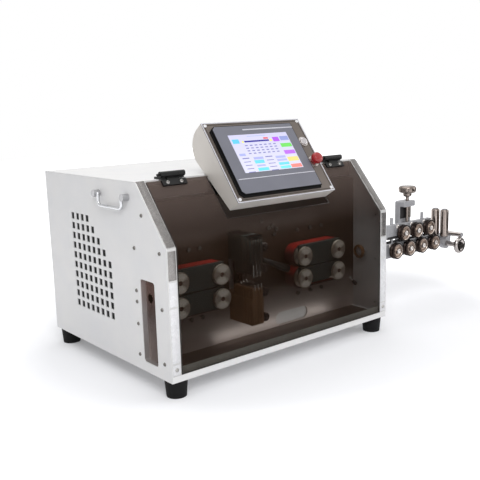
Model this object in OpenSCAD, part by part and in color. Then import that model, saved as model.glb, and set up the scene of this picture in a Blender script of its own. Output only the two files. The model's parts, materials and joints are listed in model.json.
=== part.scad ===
/* [Case] */
// Width over the two side panels
body_w = 580; // [570:1:640]
// Depth from the front face to the rear panel
body_d = 460; // [440:1:520]
// Height without the feet
body_h = 350; // [346:1:380]
// Setback of the sloping front at the roof
slope_back = 90; // [86:1:100]
// Height of the front bend above the case bottom
bend_h = 241; // [236:1:246]
// Thickness of the painted sheet metal
sheet = 2; // [1.5:0.1:3]
// Height of the base tray
base_h = 12; // [10:1:15]
// Drop of the roof's front flange
flange_h = 35; // [20:1:36]
// Height of a rubber foot
foot_h = 33; // [20:1:45]
// Radius of a foot at its top
foot_r = 21.5; // [14:0.5:22]
// Foot centre from the sides of the case
foot_inset = 22.5; // [22:0.5:60]

/* [Vents and wire outlet] */
// Width of one vent hole
vent_w = 13; // [6:0.5:14]
// Height of one vent hole
vent_h = 13.5; // [6:0.5:14]
// Spacing of the vent holes
vent_pitch = 20.4; // [18:0.1:22]
// Rows of vent holes
vent_rows = 10; // [4:1:11]
// Vent holes in a full row
vent_cols = 8; // [4:1:9]
// Vent holes in the top row
vent_top_cols = 4; // [2:1:8]
// Rear column of vents behind the front face
vent_y = 342; // [330:1:380]
// Top row of vents above the case bottom
vent_up = 265; // [240:1:290]
// Width of the wire outlet slot
outlet_w = 47; // [20:1:50]
// Height of the wire outlet slot
outlet_h = 156; // [60:1:158]
// Slot centre behind the front face
outlet_y = 67; // [60:1:70]
// Slot centre above the case bottom
outlet_up = 97; // [96:1:110]
// Corner radius of the slot
outlet_r = 6; // [2:0.5:9]

/* [Frame and main plate] */
// Thickness of a side frame plate
frame_t = 10; // [6:1:14]
// Width of the bright strip beside the front cover
strip_w = 18; // [15:1:24]
// Depth of that strip
strip_d = 8; // [6:0.5:12]
// Depth of a side frame plate
frame_d = 116; // [112:1:150]
// Front face of the main plate behind the front
plate_y = 86; // [84:0.5:90]
// Thickness of the main plate
plate_t = 12; // [8:1:14]
// Top of the main plate above the case bottom
plate_top = 310; // [290:1:312]
// Length of the lower pocket in the main plate
pocket_w = 94; // [40:1:110]
// Height of the lower pocket
pocket_h = 28; // [16:1:30]
// Pocket centre from the left side
pocket_x = 371; // [350:1:400]

/* [Front cover] */
// Thickness of the smoked sheet
cover_t = 5; // [3:0.5:6]
// Gap round the closed cover
cover_gap = 0.6; // [0.4:0.1:1.5]
// Top edge of the cover below the roof
cover_drop = 4; // [3:0.5:8]
// Gap between the cover's notch and the display housing
notch_gap = 7; // [5:0.5:10]
// Hinge centre from the sides of the case
hinge_x = 78.5; // [60:0.5:90]
// Length of a hinge
hinge_w = 53; // [40:1:60]
// Radius of a hinge barrel
hinge_r = 5.5; // [4.5:0.1:6]
// Radius of a hinge pin
hinge_pin_r = 2; // [1.5:0.1:3]
// Hinge axis above the roof
hinge_up = 8.5; // [7.5:0.1:9]
// Thickness of a hinge leaf
leaf_t = 4; // [3:0.1:4.5]
// Reach of a hinge leaf
leaf_len = 14; // [14:0.5:24]

/* [Display] */
// Width of the display housing
disp_w = 254; // [240:1:260]
// Height of its front plate
disp_h = 178; // [174:1:184]
// Lean of the front plate from upright
disp_tilt = 36.7; // [35:0.1:39]
// Lower edge of the front plate behind the front face
disp_front = 2.5; // [1.5:0.5:4]
// Lower edge of the front plate below the roof
disp_drop = 47.5; // [46:0.5:50]
// Depth of the housing at its lower edge
disp_low_d = 30; // [28:0.5:33]
// Radius of the rounded back
disp_arc_r = 42; // [36:0.5:48]
// Thickness of the front plate
disp_plate_t = 2; // [1.5:0.1:3]
// Width of the touch panel's bezel
bezel_w = 204; // [196:0.5:206]
// Height of the bezel
bezel_h = 150; // [146:0.5:156]
// Height of the bezel above the front plate
bezel_t = 6; // [4:0.5:8]
// Bezel centre from the plate centre
bezel_dx = -10; // [-12:0.5:-9]

/* [Controls] */
// Radius of the power button
button_r = 8.4; // [6:0.1:9]
// Power button from the plate centre, upwards
button_up = 30.5; // [20:0.5:60]
// Travel of the power button
button_travel = 2.5; // [1:0.1:3]
// Radius of the emergency stop head
stop_r = 12; // [10:0.5:15]
// Emergency stop from the plate centre, upwards
stop_up = -19; // [-40:0.5:-10]
// Travel of the emergency stop
stop_travel = 4; // [2:0.1:5]

/* [Wire feed] */
// Wire line behind the front face
wire_y = 60; // [58:0.5:62]
// Wire line above the case bottom
wire_up = 144; // [140:0.5:150]
// Radius of a feed pulley
pulley_r = 20; // [18:0.5:22]
// Thickness of a feed belt
belt_t = 3; // [2:0.1:4]
// Width of a feed belt
belt_w = 25; // [20:1:26]
// Gap between the closed belts
belt_gap = 0.4; // [0.3:0.1:2]
// Centre of the left feed unit from the left side
left_x = 95.5; // [92:0.5:100]
// Pulley spacing of the left feed unit
left_pitch = 95; // [90:0.5:98]
// Centre of the right feed unit from the left side
right_x = 412; // [408:0.5:440]
// Pulley spacing of the right feed unit
right_pitch = 100; // [94:0.5:104]
// Lift of an upper feed block
feed_lift = 4; // [1:0.5:5]
// Thickness of a feed block's front plate
feed_front_t = 9; // [6:0.5:10]
// Radius of a pulley's end cap
cap_r = 20; // [14:0.5:21]
// Thickness of a pulley's end cap
cap_t = 4.5; // [3:0.5:6]
// Radius of a feed shaft
shaft_r = 5; // [4:0.5:6]
// Teeth of a feed gear
gear_teeth = 20; // [20:4:24]

/* [Cutter] */
// Cutter centre from the left side
cutter_x = 218; // [212:0.5:224]
// Width of a blade holder
holder_w = 30; // [24:1:34]
// Front of the blade holders behind the front face
holder_front = 20; // [14:0.5:26]
// Gap between the open blades
blade_gap = 14; // [10:0.5:18]
// Travel of each blade holder
blade_travel = 8; // [6:0.5:8.5]
// Thickness of a blade
blade_t = 2; // [1:0.1:2.5]
// Guide rod and screw axis behind the main plate
screw_back = 32; // [30:1:44]
// Radius of the guide rods and the screw
rod_r = 6; // [4:0.5:7]
// Distance between the guide rods
rod_pitch = 44; // [40:1:50]

/* [Guide tube] */
// Pivot of the swinging guide tube from the left side
tube_x = 330; // [326:0.5:334]
// Length of the guide tube
tube_len = 68; // [40:1:70]
// Rest angle of the guide tube above level
tube_rise = 24; // [15:1:30]
// Bore radius of the guide tube
tube_bore_r = 3; // [2:0.25:3.5]

/* [Wire straightener] */
// Radius of a straightening roller
roller_r = 18; // [15:0.5:18.5]
// Width of a roller
roller_w = 12; // [9:0.5:14]
// Spacing of the rollers in a row
roller_pitch = 49.5; // [46:0.5:54]
// First roller from the right side panel
roller_first = 113; // [112:1:130]
// Sideways shift of the upper rollers from half a spacing
roller_shift = 3.75; // [0:0.25:5]
// Roller axes above and below the wire line
roller_rise = 20; // [19.5:0.25:22]
// Thickness of the roller bars
bar_t = 12.5; // [12:0.5:18]
// Height of the roller bars
bar_h = 34; // [28:1:36]
// Downward travel of the upper bar
press_down = 3; // [1:0.5:4]
// Upward travel of the upper bar
press_up = 8; // [4:0.5:10]
// Radius of the pressure knob
knob_r = 19; // [14:0.5:22]
// Radius of an upright guide roller
upright_r = 9.75; // [8:0.25:10]
// Height of an upright guide roller
upright_h = 67; // [50:1:80]
// Clear way between the upright guide rollers
upright_way = 7.5; // [5:0.5:10]
// Radius of the support roller
support_r = 6.2; // [5:0.1:8]
// Support roller behind the upright guide rollers
support_run = 44; // [42:0.5:60]
// Radius of the end knob
end_knob_r = 19; // [14:0.5:20]

/* [Handles] */
// Handle centre behind the front face
handle_y = 170; // [160:1:240]
// Handle pivot above the case bottom
handle_up = 321; // [300:1:326]
// Width of a handle bail
handle_span = 86; // [80:1:120]
// Drop of the hanging bail
handle_drop = 22; // [18:1:40]
// Radius of the bail's bar
handle_r = 3; // [2.5:0.25:4]
// Pivot out from the side panel
handle_out = 8; // [7:0.5:10]

/* [Rear and inside] */
// Power inlet centre from the left side
inlet_x = 480; // [440:1:500]
// Power inlet centre above the case bottom
inlet_up = 60; // [50:1:120]
// Length of the power supply
supply_w = 215; // [180:1:220]
// Height of the power supply
supply_h = 50; // [30:1:60]
// Width of the control board
board_w = 200; // [120:1:220]
// Face width of a stepper motor
motor_w = 57; // [55:1:58]
// Length of a stepper motor
motor_l = 56; // [40:1:60]

/* [Hidden] */
$fn = 48;
fit = 0.05;
clear = 0.3;
z0 = foot_h;
z1 = foot_h + body_h;
zb = foot_h + bend_h;
floor_z = z0 + base_h;
tan_a = slope_back / (body_h - bend_h);
slope_a = atan(tan_a);
wire_z = z0 + wire_up;
plate_back = plate_y + plate_t;
inner_x = sheet + frame_t;
roof_y = slope_back + 4;
screw_r = 2;
screw_head_r = 3.6;
screw_head_h = 1.8;
past = 20;
pocket_d = plate_t / 3;

// Screws of a side panel: depth and height above the case bottom
side_screws = [
  for (up = [31, bend_h / 2 + 10.5, bend_h - 10]) [21.5, up],
  for (up = [29, 88, 130, 151, 230]) [frame_d - 12, up],
  [slope_back - 16, body_h - 58]
];

// Front cover and hinges; slope distances run down from the roof edge
cover_x = sheet + strip_w + cover_gap;
hinge_y = slope_back - 1;
hinge_z = z1 + hinge_up;
hinge_in = (slope_back - hinge_y) * cos(slope_a) + hinge_up * sin(slope_a);
hinge_rise = hinge_up * cos(slope_a) - (slope_back - hinge_y) * sin(slope_a);
knuckle_w = hinge_w / 2;
leaf_end = leaf_len + 2;
leaf_screw = (cover_drop + leaf_end) / 2;
leaf_screw_x = hinge_w / 2 - 11.5;

// Display housing
disp_x = body_w / 2;
disp_z = z1 - disp_drop;
disp_wall = 2;
disp_edge = 6.5;
disp_low_up = 2.5;
disp_arc_d = disp_low_d - 13;
disp_arc_from = -12;
cutout_w = bezel_w - 12;
cutout_h = bezel_h - 12;
panel_depth = disp_low_d - 6;
notch_w = disp_w + 2 * notch_gap;
swing_clear = 2.5;
swing_reach = norm([hinge_y - disp_front, hinge_z - disp_z]) + swing_clear;
notch_len = sqrt(swing_reach * swing_reach - hinge_in * hinge_in) - hinge_rise;

// Depth and height of a point given as depth and height on the display's front plate
function disp_at(d, up) = [
  disp_front + up * sin(disp_tilt) + d * cos(disp_tilt),
  disp_z + up * cos(disp_tilt) - d * sin(disp_tilt)
];
function disp_arc(r, a) = [disp_arc_d + r * cos(a), disp_h - disp_arc_r + r * sin(a)];
disp_back = disp_arc(disp_arc_r, disp_arc_from);
back_low = disp_at(disp_low_d, disp_low_up);
back_high = disp_at(disp_back[0], disp_back[1]);
back_share = (z1 - back_low[1]) / (back_high[1] - back_low[1]);
roof_notch_y = back_low[0] + back_share * (back_high[0] - back_low[0]);
back_dir = (back_high - back_low) / norm(back_high - back_low);
seat_len = 16;

// Button and emergency stop in the front plate
control_dx = (bezel_dx + bezel_w / 2 + disp_w / 2) / 2 - 2.5;
collar_t = 3;
collar_depth = 20;
stop_neck_r = 6.5;
stop_lift = collar_t + stop_travel + 2;

// Feed units; the drive pulley of each is the one nearer the cutter
belt_in = pulley_r + clear;
belt_out = belt_in + belt_t;
axis_off = belt_out + belt_gap / 2;
upper_z = wire_z + axis_off;
lower_z = wire_z - axis_off;
left_drive_x = left_x + left_pitch / 2;
left_idle_x = left_x - left_pitch / 2;
right_drive_x = right_x - right_pitch / 2;
right_idle_x = right_x + right_pitch / 2;
belt_y = wire_y - belt_w / 2;
drum_y = belt_y - clear;
drum_w = belt_w + 2 * clear;
feed_front = drum_y - clear - feed_front_t;
feed_side = 9;
cap_y = feed_front - 1 - cap_t;
rear_y = drum_y + drum_w + 2;
gear_y = plate_back + 4;
gear_w = 8;
motor_y = gear_y + gear_w + 8;
motor_bolt = motor_w / 2 - 5;
boss_w = 16;
boss_h = 20;
idler_end = plate_y - 1.5;
lower_drive_end = motor_y + 8;
upper_drive_end = gear_y + gear_w + 2;
half_tooth = 180 / gear_teeth;

// Screws of the feed units in the main plate: width and height
plate_screws = [
  for (dx = [10, 36], s = [-1, 1]) [left_x + dx, wire_z + s * (axis_off + 45)],
  for (dx = [-23, 15, 49], s = [-1, 1]) [right_x + dx, wire_z + s * (axis_off + 46)]
];

// Cutter; heights count from the wire line
slot_w = holder_w + 4;
slot_h = 90;
screw_y = plate_back + screw_back;
cut_screw_r = rod_r - 0.5;
block_low = 35;
block_top = slot_h - 2;
tongue_low = 14;
nut_low = 48;
nut_h = 24;
nut_d = 2 * rod_r + 24;
nut_w = rod_pitch + 2 * rod_r + 8;
blade_step = holder_w / 2 - 7;
blade_d = wire_y - holder_front + 12;
blade_top = block_low - 3;
blade_shift = blade_t + clear;
tongue_d = blade_d + 4;
clamp_x = holder_w / 2 + 8;
clamp_r = 8.5;
motor_gap = 8;
bracket_t = 12;
bracket_low = slot_h + 8;
tube_pin_r = 4;
tube_hub_r = tube_pin_r + 3.5;
tube_r = tube_bore_r + 5;
tube_back = 6;

// Straightener
spigot_r = 10;
spigot_bore_r = 6;
roller_x0 = body_w + roller_first;
upper_x0 = roller_x0 + roller_pitch / 2 + roller_shift;
roller_y = wire_y - roller_w / 2;
axle_r = 4;
axle_head_r = 5.5;
axle_head_t = 2.2;
mount_front = 24;
mount_drop = 6;
mount_rise = 30;
bar_y = wire_y + roller_w / 2 + 2;
bar_back = bar_y + bar_t;
bar_low_z = wire_z - roller_rise - bar_h / 2;
bar_up_z = wire_z + roller_rise - bar_h / 2 + 5;
mount_t = 8;
pin_r = 4;
pin_x = [roller_x0 - 2, roller_x0 + 2.5 * roller_pitch - 7.5];
pin_top = bar_up_z + bar_h + press_up + 9;
press_x = roller_x0 + roller_pitch + 7.5;
press_y = bar_y + bar_t / 2;
press_r = 4;
press_seat = 6;
arm_w = 43;
arm_t = 14;
arm_r = 4;
arm_reach = 7;
arm_z = bar_up_z + bar_h + press_up + 30;
leg_t = 13.5;
hub_z = arm_z + arm_t + press_down + 10;
hub_h = 9;
hub_r = 9;
knob_t = 12;
slide_x = [roller_x0 - 25, roller_x0 + 2.5 * roller_pitch + 22];
groove = 2.5;
upright_x = roller_x0 + 3 * roller_pitch + 23.5;
upright_off = upright_r + upright_way / 2;
upright_z = wire_z - 6;
shelf_t = 6;
upright_axle_r = 4;
support_x = upright_x + support_run;
support_z = wire_z - support_r - 0.5;
support_front = wire_y - 35;
support_axle_r = 3;
end_knob_z = support_z - support_r - end_knob_r - 2;
end_knob_t = 12;
end_shank_r = 6.5;
end_boss_r = 14;
end_plate_t = 14;
end_x = support_x + 16;

// Handles
ear_r = 6.5;
ear_d = handle_out + handle_r + 3;
bail_bend = 8;
stub_len = 9;

// Rear fittings and electronics
inlet_lip = 3;
inlet_w = 27;
inlet_h = 20;
inlet_depth = 28;
inlet_wall = 1.5;
inlet_rim = 6;
inlet_gap = 11.7;
switch_w = 13;
switch_h = 16;
switch_tilt = 7;
switch_room = [switch_w + 0.6, switch_h + 4];
switch_case = [switch_room[0] + 4, switch_room[1] + 4];
switch_pin_r = 1.5;
switch_x = inlet_x - (inlet_w + switch_case[0]) / 2 - inlet_gap;
inlet_left = switch_x - switch_case[0] / 2 - inlet_rim;
inlet_right = inlet_x + inlet_w / 2 + inlet_rim;
inlet_tall = max(inlet_h, switch_case[1]) + 2 * inlet_rim;
supply_d = 110;
tray_row = body_d - 160;
supply_shift = 35;
supply_at = [inlet_x - supply_w + supply_shift, tray_row];
board_d = 120;
board_at = [60, tray_row];
board_lift = 10;
board_t = 2;
heat_sink = [board_w / 3, board_d / 3, 26];
driver_row = [board_w / 3, 0.4 * board_d, 12];

// Middle of the footprint
left_end = -ear_d;
right_end = max(end_x, support_x + end_knob_r);
mid_x = (left_end + right_end) / 2;
mid_y = (body_d + inlet_lip) / 2;

// Puts the middle of the whole machine's footprint over the origin
module place() {
  translate([-mid_x, -mid_y, 0]) children();
}

// Carries a profile drawn in depth and height from x0 to x1
module along_x(x0, x1) {
  translate([x0, 0, 0]) rotate([90, 0, 90]) linear_extrude(x1 - x0) children();
}

// Carries a profile drawn in width and height from y0 to y1
module along_y(y0, y1) {
  translate([0, y1, 0]) rotate([90, 0, 0]) linear_extrude(y1 - y0) children();
}

module rod_x(y, z, r, x0, x1) {
  translate([x0, y, z]) rotate([0, 90, 0]) cylinder(r = r, h = x1 - x0);
}

module rod_y(x, z, r, y0, y1) {
  translate([x, y1, z]) rotate([90, 0, 0]) cylinder(r = r, h = y1 - y0);
}

module rod_z(x, y, r, low, high) {
  translate([x, y, low]) cylinder(r = r, h = high - low);
}

module block(low, high) {
  translate(low) cube(high - low);
}

module round_rect(w, h, r) {
  square([w - 2 * r, h], center = true);
  square([w, h - 2 * r], center = true);
  for (sx = [-1, 1], sy = [-1, 1]) translate([sx * (w / 2 - r), sy * (h / 2 - r)]) circle(r);
}

module stadium(r, pitch) {
  square([pitch, 2 * r], center = true);
  for (s = [-1, 1]) translate([s * pitch / 2, 0]) circle(r);
}

module mirror_x() {
  children();
  translate([body_w, 0, 0]) mirror([1, 0, 0]) children();
}

// Depth of a line lying inset behind the sloping front at height z
function slope_y(z, inset = 0) = (z - zb) * tan_a + inset / cos(slope_a);

// Band that follows the upright and sloping front, from inset a to inset b
module front_band(a, b, low, high) {
  bend_a = zb - a * tan(slope_a / 2);
  bend_b = zb - b * tan(slope_a / 2);
  polygon([
    [a, low], [b, low], [b, bend_b], [slope_y(high, b), high], [slope_y(high, a), high], [a, bend_a]
  ]);
}

// Outline of the side from the front face back to depth, between two heights
module side_outline(depth, low, high) {
  polygon([[0, low], [depth, low], [depth, high], [slope_y(high), high], [0, zb]]);
}

module outlet_slot() {
  translate([outlet_y, z0 + outlet_up]) round_rect(outlet_w, outlet_h, outlet_r);
}

module vent_holes() {
  for (row = [0 : vent_rows - 1], col = [0 : min(vent_top_cols + row, vent_cols) - 1])
    translate([vent_y - col * vent_pitch, z0 + vent_up - row * vent_pitch])
      square([vent_w, vent_h], center = true);
}

module side_screw_holes() {
  for (s = side_screws) translate([s[0], z0 + s[1]]) circle(screw_r + fit, $fn = 24);
}

module base_tray() {
  color("whitesmoke") place() difference() {
    block([sheet, 0, z0], [body_w - sheet, body_d - sheet, floor_z]);
    block([2 * sheet, sheet, z0 - 1], [body_w - 2 * sheet, body_d - 2 * sheet, floor_z - sheet]);
  }
}

module side_panel(left) {
  difference() {
    side_outline(body_d, z0, z1 - sheet);
    vent_holes();
    side_screw_holes();
    if (left) outlet_slot();
    if (!left) translate([wire_y, wire_z]) circle(spigot_r + fit);
  }
}

module left_side_panel() {
  color("whitesmoke") place() along_x(0, sheet) side_panel(true);
}

module right_side_panel() {
  color("whitesmoke") place() along_x(body_w - sheet, body_w) side_panel(false);
}

module rear_panel() {
  color("whitesmoke") place() along_y(body_d - sheet, body_d) difference() {
    translate([sheet, floor_z]) square([body_w - 2 * sheet, z1 - sheet - floor_z]);
    translate([inlet_x, z0 + inlet_up]) square([inlet_w, inlet_h], center = true);
    translate([switch_x, z0 + inlet_up]) square(switch_case, center = true);
    for (row = [0 : 4], col = [0 : vent_cols - 1])
      translate([90 + col * vent_pitch, z0 + 150 + row * vent_pitch])
        square([vent_w, vent_h], center = true);
  }
}

module top_cover() {
  color("whitesmoke") place() {
    difference() {
      union() {
        block([0, roof_y, z1 - sheet], [body_w, body_d, z1]);
        block([cover_x, roof_y, z1 - flange_h], [body_w - cover_x, roof_y + sheet, z1]);
      }
      block([disp_x - notch_w / 2, 0, z0], [disp_x + notch_w / 2, roof_notch_y, z1 + 1]);
    }
    along_x(disp_x - disp_w / 2, disp_x + disp_w / 2) display_seat();
  }
}

// Strip bent down from the roof along the back of the display housing
module display_seat() {
  top = [roof_notch_y, z1];
  end = top - seat_len * back_dir;
  out = sheet * [back_dir[1], -back_dir[0]];
  polygon([top, end, end + out, top + out]);
}

module side_frame(left) {
  along_x(sheet, inner_x) difference() {
    side_outline(frame_d, floor_z, z1 - sheet);
    side_screw_holes();
    if (left) outlet_slot();
    if (!left) translate([wire_y, wire_z]) circle(spigot_r + fit);
  }
  along_x(inner_x, sheet + strip_w) front_band(0, strip_d, floor_z, z1 - sheet);
}

module side_frame_plates() {
  color("silver") place() {
    side_frame(true);
    translate([body_w, 0, 0]) mirror([1, 0, 0]) side_frame(false);
  }
}

module main_plate() {
  color("silver") place() {
    difference() {
      along_y(plate_y, plate_back) plate_outline();
      along_y(plate_y - 1, plate_y + pocket_d) translate([pocket_x, floor_z + 2 + pocket_h / 2])
        stadium(pocket_h / 2, pocket_w - pocket_h);
    }
    rod_y(tube_x, wire_z, tube_pin_r, wire_y + 10, plate_y + 1);
  }
}

module plate_outline() {
  difference() {
    translate([inner_x, floor_z]) square([body_w - 2 * inner_x, z0 + plate_top - floor_z]);
    translate([cutter_x, wire_z]) square([slot_w, 2 * slot_h], center = true);
    for (x = [left_drive_x, right_drive_x]) {
      translate([x, lower_z]) circle(shaft_r + 1);
      translate([x, upper_z + feed_lift / 2]) rotate(90) stadium(shaft_r + 1, feed_lift);
    }
    for (x = [left_x, right_x]) translate([x, upper_z + feed_lift / 2])
      square([boss_w + 2 * clear, boss_h + feed_lift + 2 * clear], center = true);
    for (s = plate_screws) translate(s) circle(screw_r + fit, $fn = 24);
  }
}

module rubber_feet() {
  color("black") place()
    for (x = [foot_inset, body_w - foot_inset], y = [foot_inset, body_d - foot_inset])
    translate([x, y, 0]) {
      cylinder(r1 = foot_r - 3, r2 = foot_r, h = foot_h);
      cylinder(r = foot_r / 2, h = foot_h + base_h - sheet);
    }
}

// Button-head screw along +x, with its head's seat at the origin
module screw(length) {
  rotate([0, 90, 0]) cylinder(r = screw_r, h = length, $fn = 24);
  difference() {
    translate([-screw_head_h, 0, 0]) rotate([0, 90, 0])
      cylinder(r1 = screw_head_r - 0.8, r2 = screw_head_r, h = screw_head_h, $fn = 24);
    translate([-screw_head_h - 1, 0, 0]) rotate([0, 90, 0]) cylinder(r = 1.3, h = 2, $fn = 6);
  }
}

// Display frame: x across, y into the housing, z up along the front plate
module on_display() {
  translate([disp_x, disp_front, disp_z]) rotate([-disp_tilt, 0, 0]) children();
}

module display_corners() {
  for (s = [-1, 1], up = [disp_edge, disp_h - disp_edge])
    translate([s * (disp_w / 2 - disp_edge), 0, up]) children();
}

module case_screws() {
  color("lightgray") place() {
    mirror_x() for (s = side_screws) translate([0, s[0], z0 + s[1]]) screw(inner_x - 1);
    for (s = plate_screws) translate([s[0], plate_y, s[1]]) rotate([0, 0, 90]) screw(plate_t);
    on_display() display_corners() rotate([0, 0, 90]) screw(disp_plate_t);
  }
}

module housing_outline(wall, front) {
  polygon(concat(
    [[front, wall], [disp_low_d - wall, disp_low_up + wall]],
    [for (a = [disp_arc_from : 6 : 90]) disp_arc(disp_arc_r - wall, a)],
    [[front, disp_h - wall]]
  ));
}

module display_housing() {
  color("gainsboro") place() on_display() difference() {
    along_x(-disp_w / 2, disp_w / 2) housing_outline(0, disp_plate_t);
    along_x(disp_wall - disp_w / 2, disp_w / 2 - disp_wall) housing_outline(disp_wall, 0);
  }
}

module display_plate() {
  color("dimgray") place() on_display() difference() {
    block([-disp_w / 2, 0, 0], [disp_w / 2, disp_plate_t, disp_h]);
    translate([bezel_dx - cutout_w / 2, -1, (disp_h - cutout_h) / 2])
      cube([cutout_w, disp_plate_t + 2, cutout_h]);
    for (up = [button_up, stop_up])
      rod_y(control_dx, disp_h / 2 + up, button_r + 1.5 + fit, -1, disp_plate_t + 1);
    display_corners() rod_y(0, 0, screw_r + fit, -1, disp_plate_t + 1);
  }
}

module bezel_outline(cut) {
  polygon([
    [cut - bezel_w / 2, -bezel_h / 2], [bezel_w / 2, -bezel_h / 2], [bezel_w / 2, bezel_h / 2],
    [cut - bezel_w / 2, bezel_h / 2], [-bezel_w / 2, bezel_h / 2 - cut], [-bezel_w / 2, cut - bezel_h / 2]
  ]);
}

module touch_panel() {
  color("slategray") place() on_display() translate([bezel_dx, 0, disp_h / 2]) {
    along_y(-bezel_t, 0) bezel_outline(6);
    block(
      [clear - cutout_w / 2, 0, clear - cutout_h / 2],
      [cutout_w / 2 - clear, panel_depth, cutout_h / 2 - clear]
    );
  }
}

module collar(up, r, bore) {
  translate([control_dx, 0, disp_h / 2 + up]) difference() {
    union() {
      rod_y(0, 0, r, -collar_t, 0);
      rod_y(0, 0, button_r + 1.5, 0, collar_depth);
    }
    rod_y(0, 0, bore, -collar_t - 1, collar_depth + 1);
  }
}

module button_collars() {
  color("lightgray") place() on_display() {
    collar(button_up, button_r + 2.6, button_r + clear);
    collar(stop_up, button_r + 3.6, stop_neck_r + clear);
  }
}

module power_button() {
  color("silver") place() on_display() translate([control_dx, 0, disp_h / 2 + button_up])
    rod_y(0, 0, button_r, -collar_t - button_travel, collar_depth - button_travel - 1);
}

module emergency_stop() {
  color("red") place() on_display() translate([control_dx, 0, disp_h / 2 + stop_up])
    rotate([90, 0, 0]) rotate_extrude() polygon([
      [0, stop_travel - collar_depth], [stop_neck_r, stop_travel - collar_depth], [stop_neck_r, stop_lift],
      [stop_r - 1, stop_lift], [stop_r, stop_lift + 2], [stop_r, stop_lift + 9],
      [stop_r - 3, stop_lift + 13], [0, stop_lift + 14]
    ]);
}

// Slope frame at the roof edge: y into the case, z up along the slope
module on_slope() {
  translate([0, slope_back, z1]) rotate([-slope_a, 0, 0]) children();
}

module at_hinges() {
  for (x = [hinge_x, body_w - hinge_x]) translate([x, 0, 0]) children();
}

module front_cover() {
  color([0.35, 0.27, 0.2, 0.55]) place() difference() {
    along_x(cover_x, body_w - cover_x) front_band(0, cover_t, floor_z + cover_gap, z1);
    on_slope() block([0, -past, -cover_drop], [body_w, past, past]);
    on_slope() block([disp_x - notch_w / 2, -past, -notch_len], [disp_x + notch_w / 2, past, past]);
    at_hinges() on_slope() leaf_holes();
  }
}

module leaf_holes() {
  for (s = [-1, 1]) rod_y(s * leaf_screw_x, -leaf_screw, screw_r + fit, -1, cover_t + 1);
}

// Leaves on the cover, each with the middle knuckle of its hinge and two screws
module cover_hinge_leaves() {
  color("black") place() at_hinges() {
    difference() {
      union() {
        on_slope() block([-hinge_w / 2, -leaf_t, -leaf_end], [hinge_w / 2, 0, -cover_drop]);
        on_slope() block([-knuckle_w / 2, -leaf_t, -cover_drop], [knuckle_w / 2, 0, hinge_rise]);
        rod_x(hinge_y, hinge_z, hinge_r, -knuckle_w / 2, knuckle_w / 2);
      }
      rod_x(hinge_y, hinge_z, hinge_pin_r + fit, -hinge_w, hinge_w);
    }
    on_slope() for (s = [-1, 1]) translate([s * leaf_screw_x, -leaf_t, -leaf_screw])
      rotate([0, 0, 90]) screw(leaf_t + cover_t - 0.5);
  }
}

// Leaves on the roof, each with the outer knuckles and the pin of its hinge
module roof_hinge_leaves() {
  color("black") place() at_hinges() {
    block([-hinge_w / 2, roof_y, z1], [hinge_w / 2, roof_y + leaf_len, z1 + leaf_t]);
    for (s = [-1, 1]) translate([s * (hinge_w + knuckle_w + 2 * clear) / 4, 0, 0]) {
      w = (hinge_w - knuckle_w) / 2 - clear;
      block([-w / 2, hinge_y, z1 + clear], [w / 2, roof_y + leaf_t, hinge_z]);
      rod_x(hinge_y, hinge_z, hinge_r, -w / 2, w / 2);
    }
    rod_x(hinge_y, hinge_z, hinge_pin_r, -hinge_w / 2 - 6, hinge_w / 2 + 1);
  }
}

module at_ears() {
  off = handle_span / 2 + handle_r + 0.5 + ear_r;
  for (s = [-1, 1]) translate([0, handle_y + s * off, z0 + handle_up]) children();
}

module handle_brackets() {
  color("gainsboro") place() mirror_x() difference() {
    at_ears() rod_x(0, 0, ear_r, -ear_d, 0);
    for (s = [-1, 1]) translate([0, handle_y + s * handle_span / 2, z0 + handle_up])
      rod_y(-handle_out, 0, handle_r + fit, s > 0 ? 0 : -stub_len - 1, s > 0 ? stub_len + 1 : 0);
  }
}

module quarter_bend() {
  rotate_extrude(angle = 90) translate([bail_bend, 0]) circle(handle_r);
}

// U-shaped bail hanging on two stubs that turn in the brackets
module bail() {
  translate([-handle_out, handle_y, z0 + handle_up]) for (s = [0, 1]) mirror([0, s, 0]) {
    rod_y(0, 0, handle_r, handle_span / 2, handle_span / 2 + stub_len);
    translate([0, handle_span / 2, 0]) sphere(handle_r);
    rod_z(0, handle_span / 2, handle_r, bail_bend - handle_drop, 0);
    rod_y(0, -handle_drop, handle_r, 0, handle_span / 2 - bail_bend);
    translate([0, handle_span / 2 - bail_bend, bail_bend - handle_drop]) rotate([0, 90, 0]) quarter_bend();
  }
}

module left_handle() {
  color("gainsboro") place() bail();
}

module right_handle() {
  color("gainsboro") place() translate([body_w, 0, 0]) mirror([1, 0, 0]) bail();
}

// Feed block round a pulley pair at height z; side is +1 above the wire line and -1 below it
module feed_block(x, pitch, side, reach, back) {
  z = wire_z + side * axis_off;
  w = pitch / 2 + feed_side;
  inner = pitch / 2 - pulley_r - 5;
  low = min(wire_z + side * 1.2, wire_z + side * reach);
  high = max(wire_z + side * 1.2, wire_z + side * reach);
  difference() {
    union() {
      block([x - w, feed_front, low], [x + w, feed_front + feed_front_t, high]);
      block([x - inner, feed_front, z - 14], [x + inner, back, z + 14]);
      block([x - w, rear_y, z - 12], [x + w, back, z + 12]);
    }
    for (s = [-1, 1]) rod_y(x + s * pitch / 2, z, shaft_r + fit, feed_front - 1, back + 1);
  }
}

module feed_belt(x, pitch, z) {
  along_y(belt_y, belt_y + belt_w) translate([x, z]) difference() {
    stadium(belt_out, pitch);
    stadium(belt_in, pitch);
  }
}

module lower_feed_blocks() {
  color("darkslategray") place() {
    feed_block(left_x, left_pitch, -1, axis_off + 18, plate_y);
    feed_block(right_x, right_pitch, -1, axis_off + 10, plate_y);
  }
}

module lower_feed_belts() {
  color("firebrick") place() {
    feed_belt(left_x, left_pitch, lower_z);
    feed_belt(right_x, right_pitch, lower_z);
  }
}

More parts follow.
